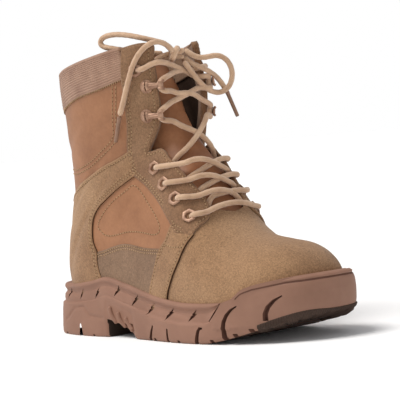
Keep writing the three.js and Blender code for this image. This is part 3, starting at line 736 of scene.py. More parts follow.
FRONT_EDGE = [(7.3, 0.0), (7.36, 0.03), (7.5, 0.075), (7.75, 0.102), (8.2, 0.122), (9, 0.160),
              (10.35, 0.206), (11.2, 0.216), (11.65, 0.224), (11.9, 0.235), (12.2, 0.256),
              (12.5, 0.272), (12.8, 0.262), (13.2, 0.243), (13.8, 0.23), (14.4, 0.227),
              (15.7, 0.223), (17.6, 0.203), (18.6, 0.191), (19.6, 0.172), (20, 0.172)]
THROAT_FOOT = FRONT_EDGE[0][0]
ROWS_OF_WALL = np.unique(np.concatenate([
    np.linspace(0, 7.2, 74), np.linspace(7.2, 7.9, 24), np.linspace(7.9, 13, 86),
    np.linspace(13, COLLAR, 92)]))


# How high the wall stands near the throat: (around, station), and where it starts to drop.
TOP_CORNER = [(0.14, 19.4), (0.18, 19.7), (0.22, 19.86), (0.265, 19.88), (0.311, 19.86), (0.33, 20)]
CORNER_START = 18.4


def throat_half_angle(station):
    return np.where(station < THROAT_FOOT, 0.0, line_at(FRONT_EDGE, station))


def lowest_around(station):
    """How far round each section runs before it dips under the sole's floor."""
    around = np.linspace(0.3, 1, 120)
    points = last_point(station[:, None], around[None])
    under = points[..., 2] < line_at(FLOOR, points[..., 0]) + 1.2
    first = np.where(under.any(1), under.argmax(1), len(around) - 1)
    return around[first]


def wall_piece(name, outer, inner, material, slot, top, rows, columns, replaces=()):
    """Closed wall between two depths, open at the collar, down the throat and underneath."""
    stations = rows[rows <= top]
    low, high = throat_half_angle(stations), lowest_around(stations)
    share = blend(0, 1, np.linspace(0, 1, columns)) * 0.3 + np.linspace(0, 1, columns) * 0.7
    mesh = Mesh()
    for side in SIDES.values():
        around = low[:, None] + (high - low)[:, None] * share[None]
        station = np.repeat(stations[:, None], columns, 1)
        drop = COLLAR - line_at(TOP_CORNER, around)
        station = station - drop * np.clip((station - CORNER_START) / (COLLAR - CORNER_START), 0, 1)
        sheets = [upper_point(station, side * around, depth) for depth in (outer, inner)]
        size = len(stations) * columns
        faces = np.concatenate([grid_faces(len(stations), columns),
                                grid_faces(len(stations), columns, size)[:, ::-1]])
        border = [(r, 0) for r in range(len(stations)) if low[r] > 0]
        border += [(len(stations) - 1, c) for c in range(1, columns)]
        border += [(r, columns - 1) for r in range(len(stations) - 2, -1, -1) if high[r] < 1]
        rim = []
        for (r0, c0), (r1, c1) in zip(border, border[1:]):
            if abs(r0 - r1) + abs(c0 - c1) == 1:
                a, b = r0 * columns + c0, r1 * columns + c1
                rim.append((a, b, b + size, a + size))
        mesh.add(np.concatenate([s.reshape(-1, 3) for s in sheets]),
                 np.concatenate([faces, rim]) if rim else faces)
    return merged(mesh.make(name, [material], slot, replaces=replaces))


wall_piece("upper_wall", 0.0, -1.4, SUEDE, "suede", COLLAR, ROWS_OF_WALL, 84,
           replaces=["upper"])
wall_piece("lining", -1.45, -WALL, LINING, "lining_felt", COLLAR - 0.04, ROWS_OF_WALL[::2], 50)


# ---- Upper: panels sewn on the wall ----

def ring_of(outline, step=1.3):
    """Even closed ring through an outline's points. A third value of 1 marks a corner."""
    corners = [k for k, p in enumerate(outline) if len(p) > 2]
    places = [p[:2] for p in outline]
    if corners:
        places = places[corners[0]:] + places[:corners[0]]
        marks = [k - corners[0] for k in corners] + [len(places)]
        places.append(places[0])
        runs = [places[a:b + 1] for a, b in zip(marks, marks[1:])]
    else:
        runs = [places + [places[0]]]
    out = []
    for run in runs:
        run = np.array(run)
        fine = np.linspace(0, len(run) - 1, 14 * (len(run) - 1) + 1)
        if corners:
            curve = np.stack([smooth_at(run[:, k], fine) for k in (0, 1)], -1)
        else:
            closed = np.concatenate([run[-3:-1], run, run[1:3]])
            curve = np.stack([smooth_at(closed[:, k], fine + 2) for k in (0, 1)], -1)
        out.append(even_path(curve, step)[:-1])
    return np.concatenate(out)


def even_path(path, step):
    """A path of (station, around) resampled to an even step in mm."""
    path = np.asarray(path, float)
    points = last_point(path[:, 0], wrapped(path[:, 1]))
    run = np.concatenate([[0], np.cumsum(np.linalg.norm(np.diff(points, axis=0), axis=1))])
    places = np.linspace(0, run[-1], max(int(round(run[-1] / step)), 1) + 1)
    return np.stack([np.interp(places, run, path[:, k]) for k in (0, 1)], -1)


def flat_map(middle):
    """Stations as lengths in mm along the surface, near one value of around."""
    stations = np.linspace(0, COLLAR, 400)
    points = last_point(stations, np.full(400, middle))
    run = np.concatenate([[0], np.cumsum(np.linalg.norm(np.diff(points, axis=0), axis=1))])
    return stations, run


AROUND_MM = 170


def nearest(points, ring):
    """Distance in mm from each point to a dense ring of points."""
    out = np.empty(len(points))
    for k in range(0, len(points), 500):
        gap = points[k:k + 500, None] - ring[None]
        out[k:k + 500] = np.sqrt((gap ** 2).sum(-1).min(1))
    return out


def patch(outline, spacing=2.4, rings=(0.5, 1.1, 2.0, 3.2)):
    """Triangles that fill an outline: (station, around), distance to its edge, faces."""
    ring = ring_of(outline)
    stations, run = flat_map(ring[:, 1].mean())
    flat = np.stack([np.interp(ring[:, 0], stations, run), ring[:, 1] * AROUND_MM], -1)
    edge_points = last_point(ring[:, 0], wrapped(ring[:, 1]))
    dense = np.concatenate([edge_points, (edge_points + np.roll(edge_points, 1, 0)) / 2])
    low, high = flat.min(0), flat.max(0)
    u, v = np.meshgrid(np.arange(low[0], high[0], spacing), np.arange(low[1], high[1], spacing))
    v = v + (np.arange(u.shape[1]) % 2)[None] * spacing / 2
    inner = [np.stack([u.ravel(), v.ravel()], -1)]
    limits = [np.full(u.size, rings[-1] + 0.8)]
    closed = np.concatenate([ring[-1:], ring, ring[:1]])
    signed = ((flat[:, 0] * np.roll(flat[:, 1], -1)) - (np.roll(flat[:, 0], -1) * flat[:, 1])).sum()
    for distance in rings:
        moved = shifted(closed, -distance if signed > 0 else distance)[1:-1]
        inner.append(np.stack([np.interp(moved[:, 0], stations, run), moved[:, 1] * AROUND_MM],
                              -1))
        limits.append(np.full(len(moved), 0.9 * distance))
    inner, limits = np.concatenate(inner), np.concatenate(limits)
    inner = inner + RANDOM.normal(0, 1e-4, inner.shape)
    place = np.stack([np.interp(inner[:, 0], run, stations), inner[:, 1] / AROUND_MM], -1)
    keep = nearest(last_point(place[:, 0], wrapped(place[:, 1])), dense) > limits
    inner = inner[keep]
    points = np.concatenate([flat, inner])
    count = len(flat)
    edges = [(k, (k + 1) % count) for k in range(count)]
    verts, _, faces, origin, _, _ = delaunay_2d_cdt(
        [Vector(p) for p in points], edges, [list(range(count))], 1, 1e-5)
    verts = np.array([tuple(v) for v in verts])
    used = sorted({k for f in faces for k in f})
    index = {k: n for n, k in enumerate(used)}
    verts = verts[used]
    faces = [[index[k] for k in f] for f in faces]
    place = np.stack([np.interp(verts[:, 0], run, stations), verts[:, 1] / AROUND_MM], -1)
    gap = nearest(last_point(place[:, 0], wrapped(place[:, 1])), dense)
    border = {}
    for f in faces:
        for a, b in zip(f, f[1:] + f[:1]):
            border[a, b] = (b, a) not in border and border.get((b, a)) is None
    rim = [(a, b) for (a, b) in border if (b, a) not in border]
    gap[list({k for pair in rim for k in pair})] = 0
    return place, gap, faces, rim


def add_panel(mesh, outline, side, lift, thickness, edge=0.55, valleys=(), spacing=2.4,
              kind=1):
    """Leather panel with a rounded edge and a sunk line along each row of stitches."""
    place, gap, faces, rim = patch(outline, spacing)
    rise = edge + (1 - edge) * np.sqrt(1 - (1 - np.clip(gap / 1.3, 0, 1)) ** 2)
    height = lift + thickness * rise
    for distance, depth in valleys:
        height = height - depth * np.exp(-((gap - distance) / 0.7) ** 2)
    station, around = place[:, 0], place[:, 1] * -side
    top = upper_point(station, around, height)
    bottom = upper_point(station, around, lift - 0.5 * np.sign(thickness))
    count = len(place)
    mesh.add(np.concatenate([top, bottom]),
             [list(f) for f in faces] + [[k + count for k in reversed(f)] for f in faces])
    mesh.faces.extend([b + mesh.count - 2 * count, a + mesh.count - 2 * count,
                       a + mesh.count - count, b + mesh.count - count] for a, b in rim)
    # Rim faces take the panel's second material: for the quarters, straps and tabs the dark edge
    # colour, partly painted shade.
    mesh.kinds.extend([kind] * len(rim))


FACING = [
    (19.45, -.161), (18.6, -.178), (17.59, -.190), (15.69, -.210), (14.4, -.214),
    (13.6, -.219), (12.99, -.237), (12.64, -.260), (12.45, -.262), (12.2, -.245), (11.9, -.222),
    (11.65, -.211), (11.2, -.203), (10.35, -.193), (8.99, -.146), (8.21, -.107), (7.9, -.098),
    (7.64, -.107), (7.42, -.135), (7.39, -.166), (7.5, -.23), (7.58, -.277, 1), (8.0, -.305),
    (8.38, -.328), (8.69, -.321, 1), (9.58, -.312), (10.87, -.309), (11.8, -.312), (12.3, -.325),
    (12.9, -.338), (13.52, -.349), (14.44, -.358), (16.11, -.355), (17.82, -.340),
    (19.9, -.311, 1), (19.96, -.265), (19.95, -.22), (19.82, -.178), (19.68, -.163)]
TAB = [
    (7.52, -.262, 1), (7.62, -.295), (7.96, -.391), (8.35, -.458), (8.56, -.50), (8.6, -.58, 1),
    (9.45, -.58, 1), (9.38, -.495), (9.29, -.458), (9.14, -.409), (8.87, -.374),
    (8.69, -.321, 1), (8.5, -.30), (7.9, -.27)]
ANKLE = [
    (13.1, -.53), (12.95, -.455), (12.7, -.38), (12.35, -.32), (11.8, -.30), (10.87, -.30),
    (9.6, -.30), (8.7, -.31), (8.8, -.38), (9.1, -.45), (9.9, -.47), (10.9, -.48), (11.5, -.50),
    (12, -.535), (12.65, -.535)]
ANKLE_STITCH = [
    (12.58, -.488), (12.57, -.432), (12.24, -.367), (11.85, -.329), (10.66, -.335), (9.41, -.355),
    (9.59, -.387), (11.02, -.416), (12.21, -.471)]
QUARTER = [
    (9.0, -.402, 1), (9.93, -.427), (10.9, -.440), (11.51, -.464), (12.1, -.507, 1),
    (11.9, -.62), (10.5, -.64), (9.2, -.60, 1)]
COUNTER = [
    (13.6, -.335, 1), (13.98, -.392), (14.49, -.471), (14.88, -.570), (15.15, -.68),
    (15.32, -.82), (15.4, -1, 1), (14, -1, 1), (13, -1, 1), (12.5, -1, 1), (12.1, -.86),
    (11.4, -.66), (11.3, -.60), (11.35, -.56), (11.46, -.525), (11.97, -.501), (12.59, -.508),
    (12.92, -.505), (12.97, -.48), (12.87, -.45), (12.61, -.387), (12.3, -.335),
    (12.1, -.31, 1), (12.9, -.315)]
SHAFT = [
    (18.5, -.33, 1), (18.5, -.6), (18.5, -1, 1), (15.2, -1, 1), (15.0, -.7), (14.6, -.55),
    (14.2, -.45), (13.7, -.36), (13.4, -.33, 1), (14.4, -.34), (16, -.34), (17.8, -.32)]

# Inside, a strip of suede faces the top of the throat edge.
INNER_TOP = [
    (19.45, -.165), (18.6, -.181), (17.59, -.194), (15.69, -.214), (14.4, -.218),
    (13.6, -.223), (12.99, -.242), (12.75, -.262, 1), (13.0, -.30), (14.4, -.285), (16, -.28),
    (17.2, -.285), (17.8, -.33), (18.0, -.45, 1), (18.9, -.46), (19.8, -.45, 1), (19.85, -.33),
    (19.88, -.265), (19.87, -.22), (19.74, -.184), (19.62, -.168)]

facings, straps, tans, greys = Mesh(), Mesh(), Mesh(), Mesh()
for side in SIDES.values():
    add_panel(tans, SHAFT, side, 0.0, 0.55)
    add_panel(tans, ANKLE, side, 0.0, 0.55)
    add_panel(facings, INNER_TOP, side, -WALL - 0.15, -1.0, kind=0)
    add_panel(greys, QUARTER, side, 0.25, 1.0, valleys=[(2.0, 0.35)])
    add_panel(straps, COUNTER, side, 0.35, 1.75, edge=0.8, valleys=[(2.6, 0.45)])
    add_panel(straps, TAB, side, 0.3, 1.5, edge=0.8, valleys=[(2.2, 0.35)])
    add_panel(facings, FACING, side, 0.5, 1.6, edge=0.6, valleys=[(2.6, 0.4)], spacing=2.0,
              kind=0)
merged(tans.make("tan_panels", [TAN, TAN], "suede"))
merged(greys.make("lower_quarters", [SUEDE_GREY, EDGE], "suede"))
merged(straps.make("counter_and_tabs", [SUEDE, EDGE], "suede"))
# The facings and the inner strip take the suede darkened as painted shade.
merged(facings.make("facings", [SUEDE_SHADED, EDGE], "suede"))


# ---- Upper: collar band, back strip and stitches ----

BAND_BOTTOM = [(-1.0, 18.25), (-0.7, 18.22), (-0.56, 18.17), (-0.45, 17.96), (-0.34, 17.85),
               (-0.3, 17.82)]
BAND_FRONT = 0.318
BAND_RIBS = 14


def rolled_edge(station, around, outer, inner, turns=7):
    """Half a roll over the collar, from outer to inner height above the surface."""
    middle, radius = (outer + inner) / 2, (outer - inner) / 2
    angle = np.linspace(0, math.pi, turns)
    base = upper_point(station, around, 0)
    out = upper_normal(np.full(len(around), station), around)
    low = upper_point(station - 0.1, around, 0)
    upwards = unit(base - low)
    return (base[None] + out[None] * (middle + radius * np.cos(angle))[:, None, None]
            + upwards[None] * (radius * np.sin(angle))[:, None, None])


band = Mesh()
around = np.linspace(BAND_FRONT, 2 - BAND_FRONT, 170)
depth = np.linspace(0, 1, BAND_RIBS * 7 + 1)
bottom = np.array([line_at([(x, z) for x, z in BAND_BOTTOM], -abs(a)) for a in wrapped(around)])
end_fade = np.sqrt(np.clip(np.minimum(around - BAND_FRONT, 2 - BAND_FRONT - around) / 0.006,
                           0.2, 1))
stations = bottom[None] + (19.93 - bottom)[None] * depth[:, None]
ribs = 0.24 * np.cos(2 * math.pi * BAND_RIBS * depth)
lower_edge = np.sqrt(np.clip(depth / 0.02, 0.25, 1))
outside = upper_point(stations, np.repeat(around[None], len(depth), 0),
                      0.55 + (1.15 * lower_edge + ribs)[:, None] * end_fade[None])
roll = rolled_edge(19.93, around, 1.7 + 0.24, -WALL - 0.5)
inside_depth = np.linspace(0, 1, 14)[1:]
inside_stations = 19.93 - (19.93 - bottom)[None] * inside_depth[:, None] * 0.85
inside = upper_point(inside_stations, np.repeat(around[None], 13, 0), -WALL - 0.5)
sheet = np.concatenate([outside, roll[1:], inside])
sheet = np.concatenate([sheet, upper_point(inside_stations[-1], around, -WALL + 0.3)[None],
                        upper_point(stations[0], around, 0.2)[None]])
band_faces = grid_faces(len(sheet), len(around)).tolist()
inner_rows = (len(outside) + len(roll) - 2) * (len(around) - 1)
band.add(sheet, band_faces
         + [(k, k + 1, (len(sheet) - 1) * len(around) + k + 1, (len(sheet) - 1) * len(around) + k)
            for k in range(len(around) - 1)]
         + [[r * len(around) for r in range(len(sheet))],
            [r * len(around) + len(around) - 1 for r in range(len(sheet))][::-1]])
# The inside of the band takes the suede darkened as painted shade.
band.kinds[inner_rows:len(band_faces)] = [1] * (len(band_faces) - inner_rows)
merged(band.make("collar_band", [BAND, SUEDE_SHADED], "webbing"))

strip_half = 0.055
strip = Mesh()
columns, rows = 25, 70
across = np.linspace(-1, 1, columns)
stations = np.linspace(15.0, 18.35, rows)
grown = 0.85 * np.sqrt(np.clip((1 - np.abs(across)) / 0.09, 0.35, 1))
grown = grown - 0.3 * np.exp(-((np.abs(across) - 0.72) / 0.09) ** 2)
station = np.repeat(stations[:, None], columns, 1)
around = 1 + strip_half * np.repeat(across[None], rows, 0)
sheets = [upper_point(station, around, 0.5 + grown[None]), upper_point(station, around, 0.1)]
add_sheet(strip, sheets[0], sheets[1])
merged(strip.make("back_strip", [SUEDE], "suede"))


def add_stitches(mesh, path, side, height, distance=0.0, pitch=3.0, length=2.1, radius=0.42,
                 slant=0.0):
    """Row of thread stitches along a path, moved sideways and lifted off the wall."""
    path = even_path(np.asarray(path, float), 1.0)
    if distance:
        path = shifted(path, distance)
    path = even_path(path, pitch)
    station, around = path[:, 0], wrapped(path[:, 1] * -side)
    middle = upper_point(station, around, height)
    out = upper_normal(station, around)
    direction = unit(np.gradient(middle, axis=0))
    across = np.cross(out, direction)
    direction = unit(direction + slant * across)
    across = np.cross(out, direction)
    rings = [(-1.0, 0.25, -0.5), (-0.6, 0.9, -0.05), (0.0, 1.0, 0.1), (0.6, 0.9, -0.05),
             (1.0, 0.25, -0.5)]
    sides = 6
    angle = np.arange(sides) * 2 * math.pi / sides
    for m, d, a, o in zip(middle[:-1], direction, across, out):
        points = [m + d * (length / 2 * t) + a * (radius * r * math.cos(q))
                  + o * (radius * (r * math.sin(q) + s)) for t, r, s in rings for q in angle]
        mesh.add(points, STITCH_FACES)
    # Painted shade: a small dark disc at each needle hole between stitches.
    ends = (middle[:-1] + middle[1:]) / 2
    for m, d, a, o in zip(ends, direction, across, out):
        points = [m + (d * math.cos(q) + a * math.sin(q)) * 0.42 + o * t
                  for t in (-0.6, 0.06) for q in angle]
        mesh.add(points, HOLE_FACES, kind=1)


STITCH_FACES = grid_faces(5, 6, closed=True).tolist() + [list(range(6))[::-1],
                                                         [24 + k for k in range(6)]]


HOLE_FACES = grid_faces(2, 6, closed=True).tolist() + [list(range(6))[::-1],
                                                       [6 + k for k in range(6)]]


def between(outline, first, last, step=1.0):
    """The part of an outline from one of its points to another, as a smooth open path."""
    places = np.array([p[:2] for p in (outline + outline)[first:last + 1]])
    fine = np.linspace(0, len(places) - 1, 14 * (len(places) - 1) + 1)
    return even_path(np.stack([smooth_at(places[:, k], fine) for k in (0, 1)], -1), step)


def inner_stitches(mesh, outline, first, last, side, height, distance, **more):
    """Stitches inside an outline, beside the part of it between two of its points."""
    add_stitches(mesh, between(outline, first, last), side, height, turn_of(outline) * distance,
                 **more)


def turn_of(outline):
    p = np.array([q[:2] for q in outline])
    area = (p[:, 0] * np.roll(p[:, 1], -1) - np.roll(p[:, 0], -1) * p[:, 1]).sum()
    return -1 if area > 0 else 1


def edge_roll(mesh, path, side, outer, inner, proud, behind=1.2, turns=9):
    """Rounded suede edge from one height to another along the free side of a panel."""
    path = even_path(path, 1.0)
    station, around = path[:, 0], wrapped(path[:, 1] * -side)
    normal = upper_normal(station, around)
    direction = unit(np.gradient(upper_point(station, around, 0), axis=0))
    outwards = np.cross(normal, direction) * side
    middle, radius = (outer + inner) / 2, (outer - inner) / 2
    angle = np.linspace(0, math.pi, turns)
    rings = [upper_point(station, around, middle + radius * math.cos(a))
             + outwards * (proud * math.sin(a)) for a in angle]
    rings += [upper_point(station, around, middle + radius * 0.9 * t) - outwards * behind
              for t in (-1, 1)]
    grid = np.stack(rings, 1)
    rows, columns = grid.shape[:2]
    mesh.add(grid, grid_faces(rows, columns, closed=True).tolist()
             + [list(range(columns))[::-1], [(rows - 1) * columns + k for k in range(columns)]])


throat_edges = Mesh()
for side in SIDES.values():
    edge = between(FACING, len(FACING) - 5, len(FACING) + 8)
    edge_roll(throat_edges, np.concatenate([[(19.91, -.326)], edge]), side, 1.6, -WALL - 0.8, 1.0)
# The throat edges take the suede darkened as painted shade.
merged(throat_edges.make("throat_edges", [SUEDE_SHADED], "suede"))

threads = Mesh()
facing_top, strap_top, tab_top, tan_top = 2.1, 2.15, 1.75, 0.7
for side in SIDES.values():
    inner_stitches(threads, FACING, 0, 20, side, facing_top - 0.2, 2.6)
    inner_stitches(threads, FACING, 25, 33, side, facing_top - 0.1, 2.4)
    inner_stitches(threads, FACING, 25, 33, side, facing_top - 0.05, 4.6)
    add_stitches(threads, [(8.05, -.302), (8.3, -.317), (8.62, -.314)], side, facing_top + 0.1)
    add_stitches(threads, [(8.12, -.292), (8.4, -.305), (8.72, -.303)], side, facing_top + 0.1)
    inner_stitches(threads, COUNTER, 0, 5, side, strap_top - 0.1, 2.6)
    inner_stitches(threads, COUNTER, 13, 22, side, strap_top - 0.2, 2.8)
    inner_stitches(threads, COUNTER, 13, 22, side, strap_top - 0.1, 5.2)
    inner_stitches(threads, TAB, 0, 4, side, tab_top - 0.05, 2.2)
    inner_stitches(threads, TAB, 7, 11, side, tab_top - 0.05, 2.2)
    add_stitches(threads, [(7.8, -.34), (8.3, -.37), (8.8, -.385), (9.1, -.43)], side,
                 tab_top + 0.1)
    inner_stitches(threads, QUARTER, 0, 4, side, 1.15, 1.8)
    inner_stitches(threads, QUARTER, 0, 4, side, 1.2, 4.0)
    add_stitches(threads, ring_of(ANKLE_STITCH, 1.0), side, tan_top, pitch=3.4)
    line = [(17.7, -.388), (16.16, -.421), (15.4, -.425), (15.25, -.45), (15.3, -.50),
            (15.43, -.569), (15.88, -.688), (16.3, -.80), (16.5, -.90)]
    add_stitches(threads, between(line, 0, len(line) - 1), side, tan_top, 0, pitch=3.3)
    add_stitches(threads, between(line, 0, len(line) - 1), side, tan_top, 3.4, pitch=3.3)
    strip_edge = [(s, -1 + strip_half * 0.72) for s in np.linspace(15.5, 18.1, 12)]
    add_stitches(threads, strip_edge, side, 1.2)
    around = np.linspace(-0.325, -1.0, 40)
    edge = [(line_at(BAND_BOTTOM, a) - 0.02, a) for a in around[::-1]]
    add_stitches(threads, edge, side, 1.25, pitch=2.2, length=2.6, radius=0.36, slant=1.3)
merged(threads.make("stitches", [THREAD, NEEDLE_HOLE], "suede"))


# ---- Tongue ----

TONGUE = [
    (6.4, 0.10), (7, 0.13), (7.7, 0.17), (8.4, 0.19), (9.2, 0.20), (10, 0.205), (11, 0.21),
    (12.5, 0.225), (14, 0.24), (15.5, 0.25), (17, 0.25), (18.4, 0.235), (19, 0.2)]
TONGUE_TOP = 19.35
TONGUE_LEAN = (136, 0.42)


def tongue_point(station, around, depth):
    point = upper_point(station, around, 0) - upper_normal(station, around) * (
        WALL + 0.7 + depth)[..., None]
    point[..., 0] -= TONGUE_LEAN[1] * np.maximum(
        last_point(station, np.zeros_like(station))[..., 2] - TONGUE_LEAN[0], 0)
    return point


tongue = Mesh()
rows, columns = 110, 46
share = np.sin(np.linspace(-1, 1, columns) * math.pi / 2)
stations = np.linspace(6.4, TONGUE_TOP, rows)
half = np.array([line_at(TONGUE, s) for s in stations])
top_round = np.sqrt(np.clip(1 - np.clip((stations - 18.3) / 1.12, 0, 1) ** 2, 0.03, 1))
station = np.repeat(stations[:, None], columns, 1)
around = (half * top_round)[:, None] * share[None]
edge_gap = (1 - np.abs(share))[None] * half[:, None] * AROUND_MM
edge_gap = np.minimum(edge_gap, (TONGUE_TOP - stations)[:, None] * 26)
bevel = 1.5 * (1 - np.sqrt(1 - (1 - np.clip(edge_gap / 1.6, 0, 1)) ** 2))
seam = 0.5 * np.exp(-((edge_gap - 4.2) / 0.6) ** 2)
sag = (0.5 * np.sin(station * 1.9) * np.cos(around * 9)
       + 0.5 * np.exp(-((station - 12.6 - 4 * around) / 0.35) ** 2)
       + 0.4 * np.exp(-((station - 14.3 + 3 * around) / 0.3) ** 2))
front = tongue_point(station, around, bevel + seam + sag)
rear = tongue_point(station, around, 3.2 - bevel + sag)
add_sheet(tongue, front, rear)
merged(tongue.make("tongue_leather", [TONGUE_LEATHER], "tongue_leather", replaces=["tongue"]))


# ---- Insole ----

INSOLE_TOP = 5.3
insole = Mesh()
stations = np.concatenate([np.linspace(0.4, 7, 34), np.linspace(7.1, 12.8, 60)])
rows_left, rows_right = [], []
around = np.linspace(0.15, 1, 400)
for side, rows in ((LATERAL, rows_left), (MEDIAL, rows_right)):
    for s in stations:
        points = upper_point(np.full(400, s), side * around, -WALL - 0.35)
        level = line_at(FLOOR, points[:, 0]) + INSOLE_TOP
        below = points[:, 2] < level
        hit = below.argmax() if below.any() else 399
        rows.append(points[hit])
left, right_edge = np.array(rows_left), np.array(rows_right)
columns = 31
t = np.linspace(0, 1, columns)
plan = left[:, None] + (right_edge - left)[:, None] * t[None, :, None]
rim_height = 1.6 * (np.abs(2 * t - 1) ** 4)[None] * np.ones((len(stations), 1))
top_face, low_face = plan.copy(), plan.copy()
top_face[..., 2] = line_at(FLOOR, plan[..., 0]) + INSOLE_TOP - 0.4 + rim_height
low_face[..., 2] = line_at(FLOOR, plan[..., 0]) + 0.4
add_sheet(insole, top_face, low_face)
merged(insole.make("footbed", [LINING], "lining_felt", replaces=["insole"]))


# ---- Heel loop ----

LOOP_LOW, LOOP_HIGH, LOOP_HALF, LOOP_STAND = 108, 132, 8.6, 4.0
loop = Mesh()
heights = np.linspace(LOOP_LOW - 5, LOOP_HIGH + 4, 50)
columns = 22
across = np.linspace(-1, 1, columns)
share = np.clip((heights - LOOP_LOW) / (LOOP_HIGH - LOOP_LOW), 0, 1)
stand = np.minimum(LOOP_STAND, LOOP_STAND * np.sin(math.pi * share) * 1.6)
back_x = np.array([upper_point(15 + (z - 98) / 26, 1, 1.5)[0] for z in heights])
weave = 0.12 * np.cos(across * 26)
thin = 0.75 * np.sqrt(np.clip((1 - np.abs(across)) / 0.1, 0.2, 1))
y = np.repeat(across[None] * LOOP_HALF, len(heights), 0)
z = np.repeat(heights[:, None], columns, 1)
centre_x = (back_x - stand - 0.9)[:, None] + 0.012 * y ** 2
outer_face = np.stack([centre_x - (thin + weave)[None], y, z], -1)
inner_face = np.stack([centre_x + thin[None], y, z], -1)
add_sheet(loop, outer_face, inner_face)
merged(loop.make("pull_loop", [WEBBING], "webbing", replaces=["heel_loop"]))


# ---- Sole ----

OUTLINE = np.array([
    [-156, 0, 0], [-152, 20, 19.5], [-141, 32.5, 32.5], [-122, 39.5, 40], [-96, 43, 43],
    [-66, 44, 43], [-34, 46, 43.5], [0, 50.5, 45.5], [32, 54.6, 49.5], [62, 55.4, 51.7],
    [90, 52.8, 51.5], [114, 45.5, 47.5], [134, 33, 42], [147, 19.5, 34], [154, 5, 24],
    [156, -8, 8]])


def outline_ring(step):
    """Outline of the sole seen from above: heel tip, outer side, toe tip, inner side."""
    places = np.linspace(0, len(OUTLINE) - 1, 900)
    x = smooth_at(OUTLINE[:, 0], places)
    halves = [np.stack([x, side * smooth_at(OUTLINE[:, column], places)], -1)
              for side, column in ((LATERAL, 1), (MEDIAL, 2))]
    loop = np.concatenate([halves[0], halves[1][-2:0:-1], halves[0][:1]])
    run = np.concatenate([[0], np.cumsum(np.linalg.norm(np.diff(loop, axis=0), axis=1))])
    half_run = run[899]
    count = int(half_run / step)
    spots = np.concatenate([np.linspace(0, half_run, count + 1),
                            np.linspace(half_run, run[-1], count + 1)[1:-1]])
    return np.stack([np.interp(spots, run, loop[:, k]) for k in (0, 1)], -1), count


ring, half_count = outline_ring(1.5)
ring_size = len(ring)
ring_step = np.roll(ring, -1, 0) - np.roll(ring, 1, 0)
ring_in = unit(np.stack([-ring_step[:, 1], ring_step[:, 0]], -1))

SIDE_LEDGE = [(-165, 28), (-110, 28), (-82, 31), (-62, 35), (-40, 30), (0, 21), (35, 16.5),
              (60, 16), (72, 16.6), (78, 18.6), (84, 24), (90, 31), (100, 34.6), (107, 40.6),
              (115, 43.6), (135, 47.1), (165, 49.6)]
LINES = {"ground": GROUND, "ledge": SIDE_LEDGE, "rand": RAND}

# Side wall from the ground up: from line, to line, share of the way, lift, how far it is
# drawn in at heel, waist and toe, how far the back of the heel rakes forward, and how far
# it stays off the upper.
WALL_LEVELS = [
    ("ground", "ledge", 0, 0, 1.2, 3.0, 3.4, 0, 4.6),
    ("ground", "ledge", 0, 0.7, 0.5, 1.9, 2.2, 0, 4.6),
    ("ground", "ledge", 0, 2.2, 0.1, 0.9, 1.2, 0.1, 4.6),
    ("ground", "ledge", 0.2, 0.8, 0.0, 0.6, 0.5, 0.4, 4.6),
    ("ground", "ledge", 0.35, 0, 0.1, 0.35, 0.2, 0.8, 4.6),
    ("ground", "ledge", 0.45, 0, 0.2, 0.25, 0.1, 1.0, 4.6),
    ("ground", "ledge", 0.55, 0, 0.3, 0.2, 0, 1.2, 4.6),
    ("ground", "ledge", 0.65, 0, 0.45, 0.15, 0.2, 1.5, 4.6),
    ("ground", "ledge", 0.75, 0, 0.6, 0.1, 0.4, 1.7, 4.6),
    ("ground", "ledge", 0.9, -0.8, 0.9, 0, 1.2, 2.1, 4.6),
    ("ground", "ledge", 1, -1.6, 1.1, 0, 1.8, 2.3, 4.6),
    ("ground", "ledge", 1, -0.9, 1.4, 0.3, 2.2, 2.4, 4.6),
    ("ground", "ledge", 1, -0.4, 2.2, 1.0, 2.8, 2.5, 4.6),
    ("ground", "ledge", 1, 0.0, 3.0, 1.8, 3.6, 2.6, 4.6),
    ("ledge", "rand", 0.04, 0.3, 3.1, 2.4, 4.0, 2.8, 4.6),
    ("ledge", "rand", 0.18, 0.3, 2.9, 2.7, 4.3, 2.9, 4.4),
    ("ledge", "rand", 0.36, 0, 3.2, 3.4, 4.6, 3.0, 3.9),
    ("ledge", "rand", 0.44, 0, 3.8, 4.3, 4.9, 3.0, 3.5),
    ("ledge", "rand", 0.50, 0, 4.9, 5.5, 5.1, 3.1, 2.9),
    ("ledge", "rand", 0.60, 0, 5.2, 6.0, 5.3, 3.1, 2.8),
    ("ledge", "rand", 0.68, 0, 4.6, 5.7, 5.4, 3.1, 3.0),
    ("ledge", "rand", 0.74, 0, 3.9, 5.1, 5.6, 3.1, 3.6),
    ("ledge", "rand", 0.82, 0, 3.6, 4.9, 5.8, 3.1, 4.1),
    ("ledge", "rand", 0.90, 0, 3.8, 5.1, 6.2, 3.1, 3.9),
    ("ledge", "rand", 0.96, 0, 4.3, 5.6, 6.9, 3.2, 3.3),
    ("ledge", "rand", 1, 0, 5.2, 6.5, 7.8, 3.3, 2.3)]
HEEL_LINE = ([-131, -122.7, -118.5, -110.5, -95.5, -91, -87.1, -68.5, -60],
             [12, 14.8, 17.5, 22.9, 24.2, 21, 17.0, 15.4, 15])


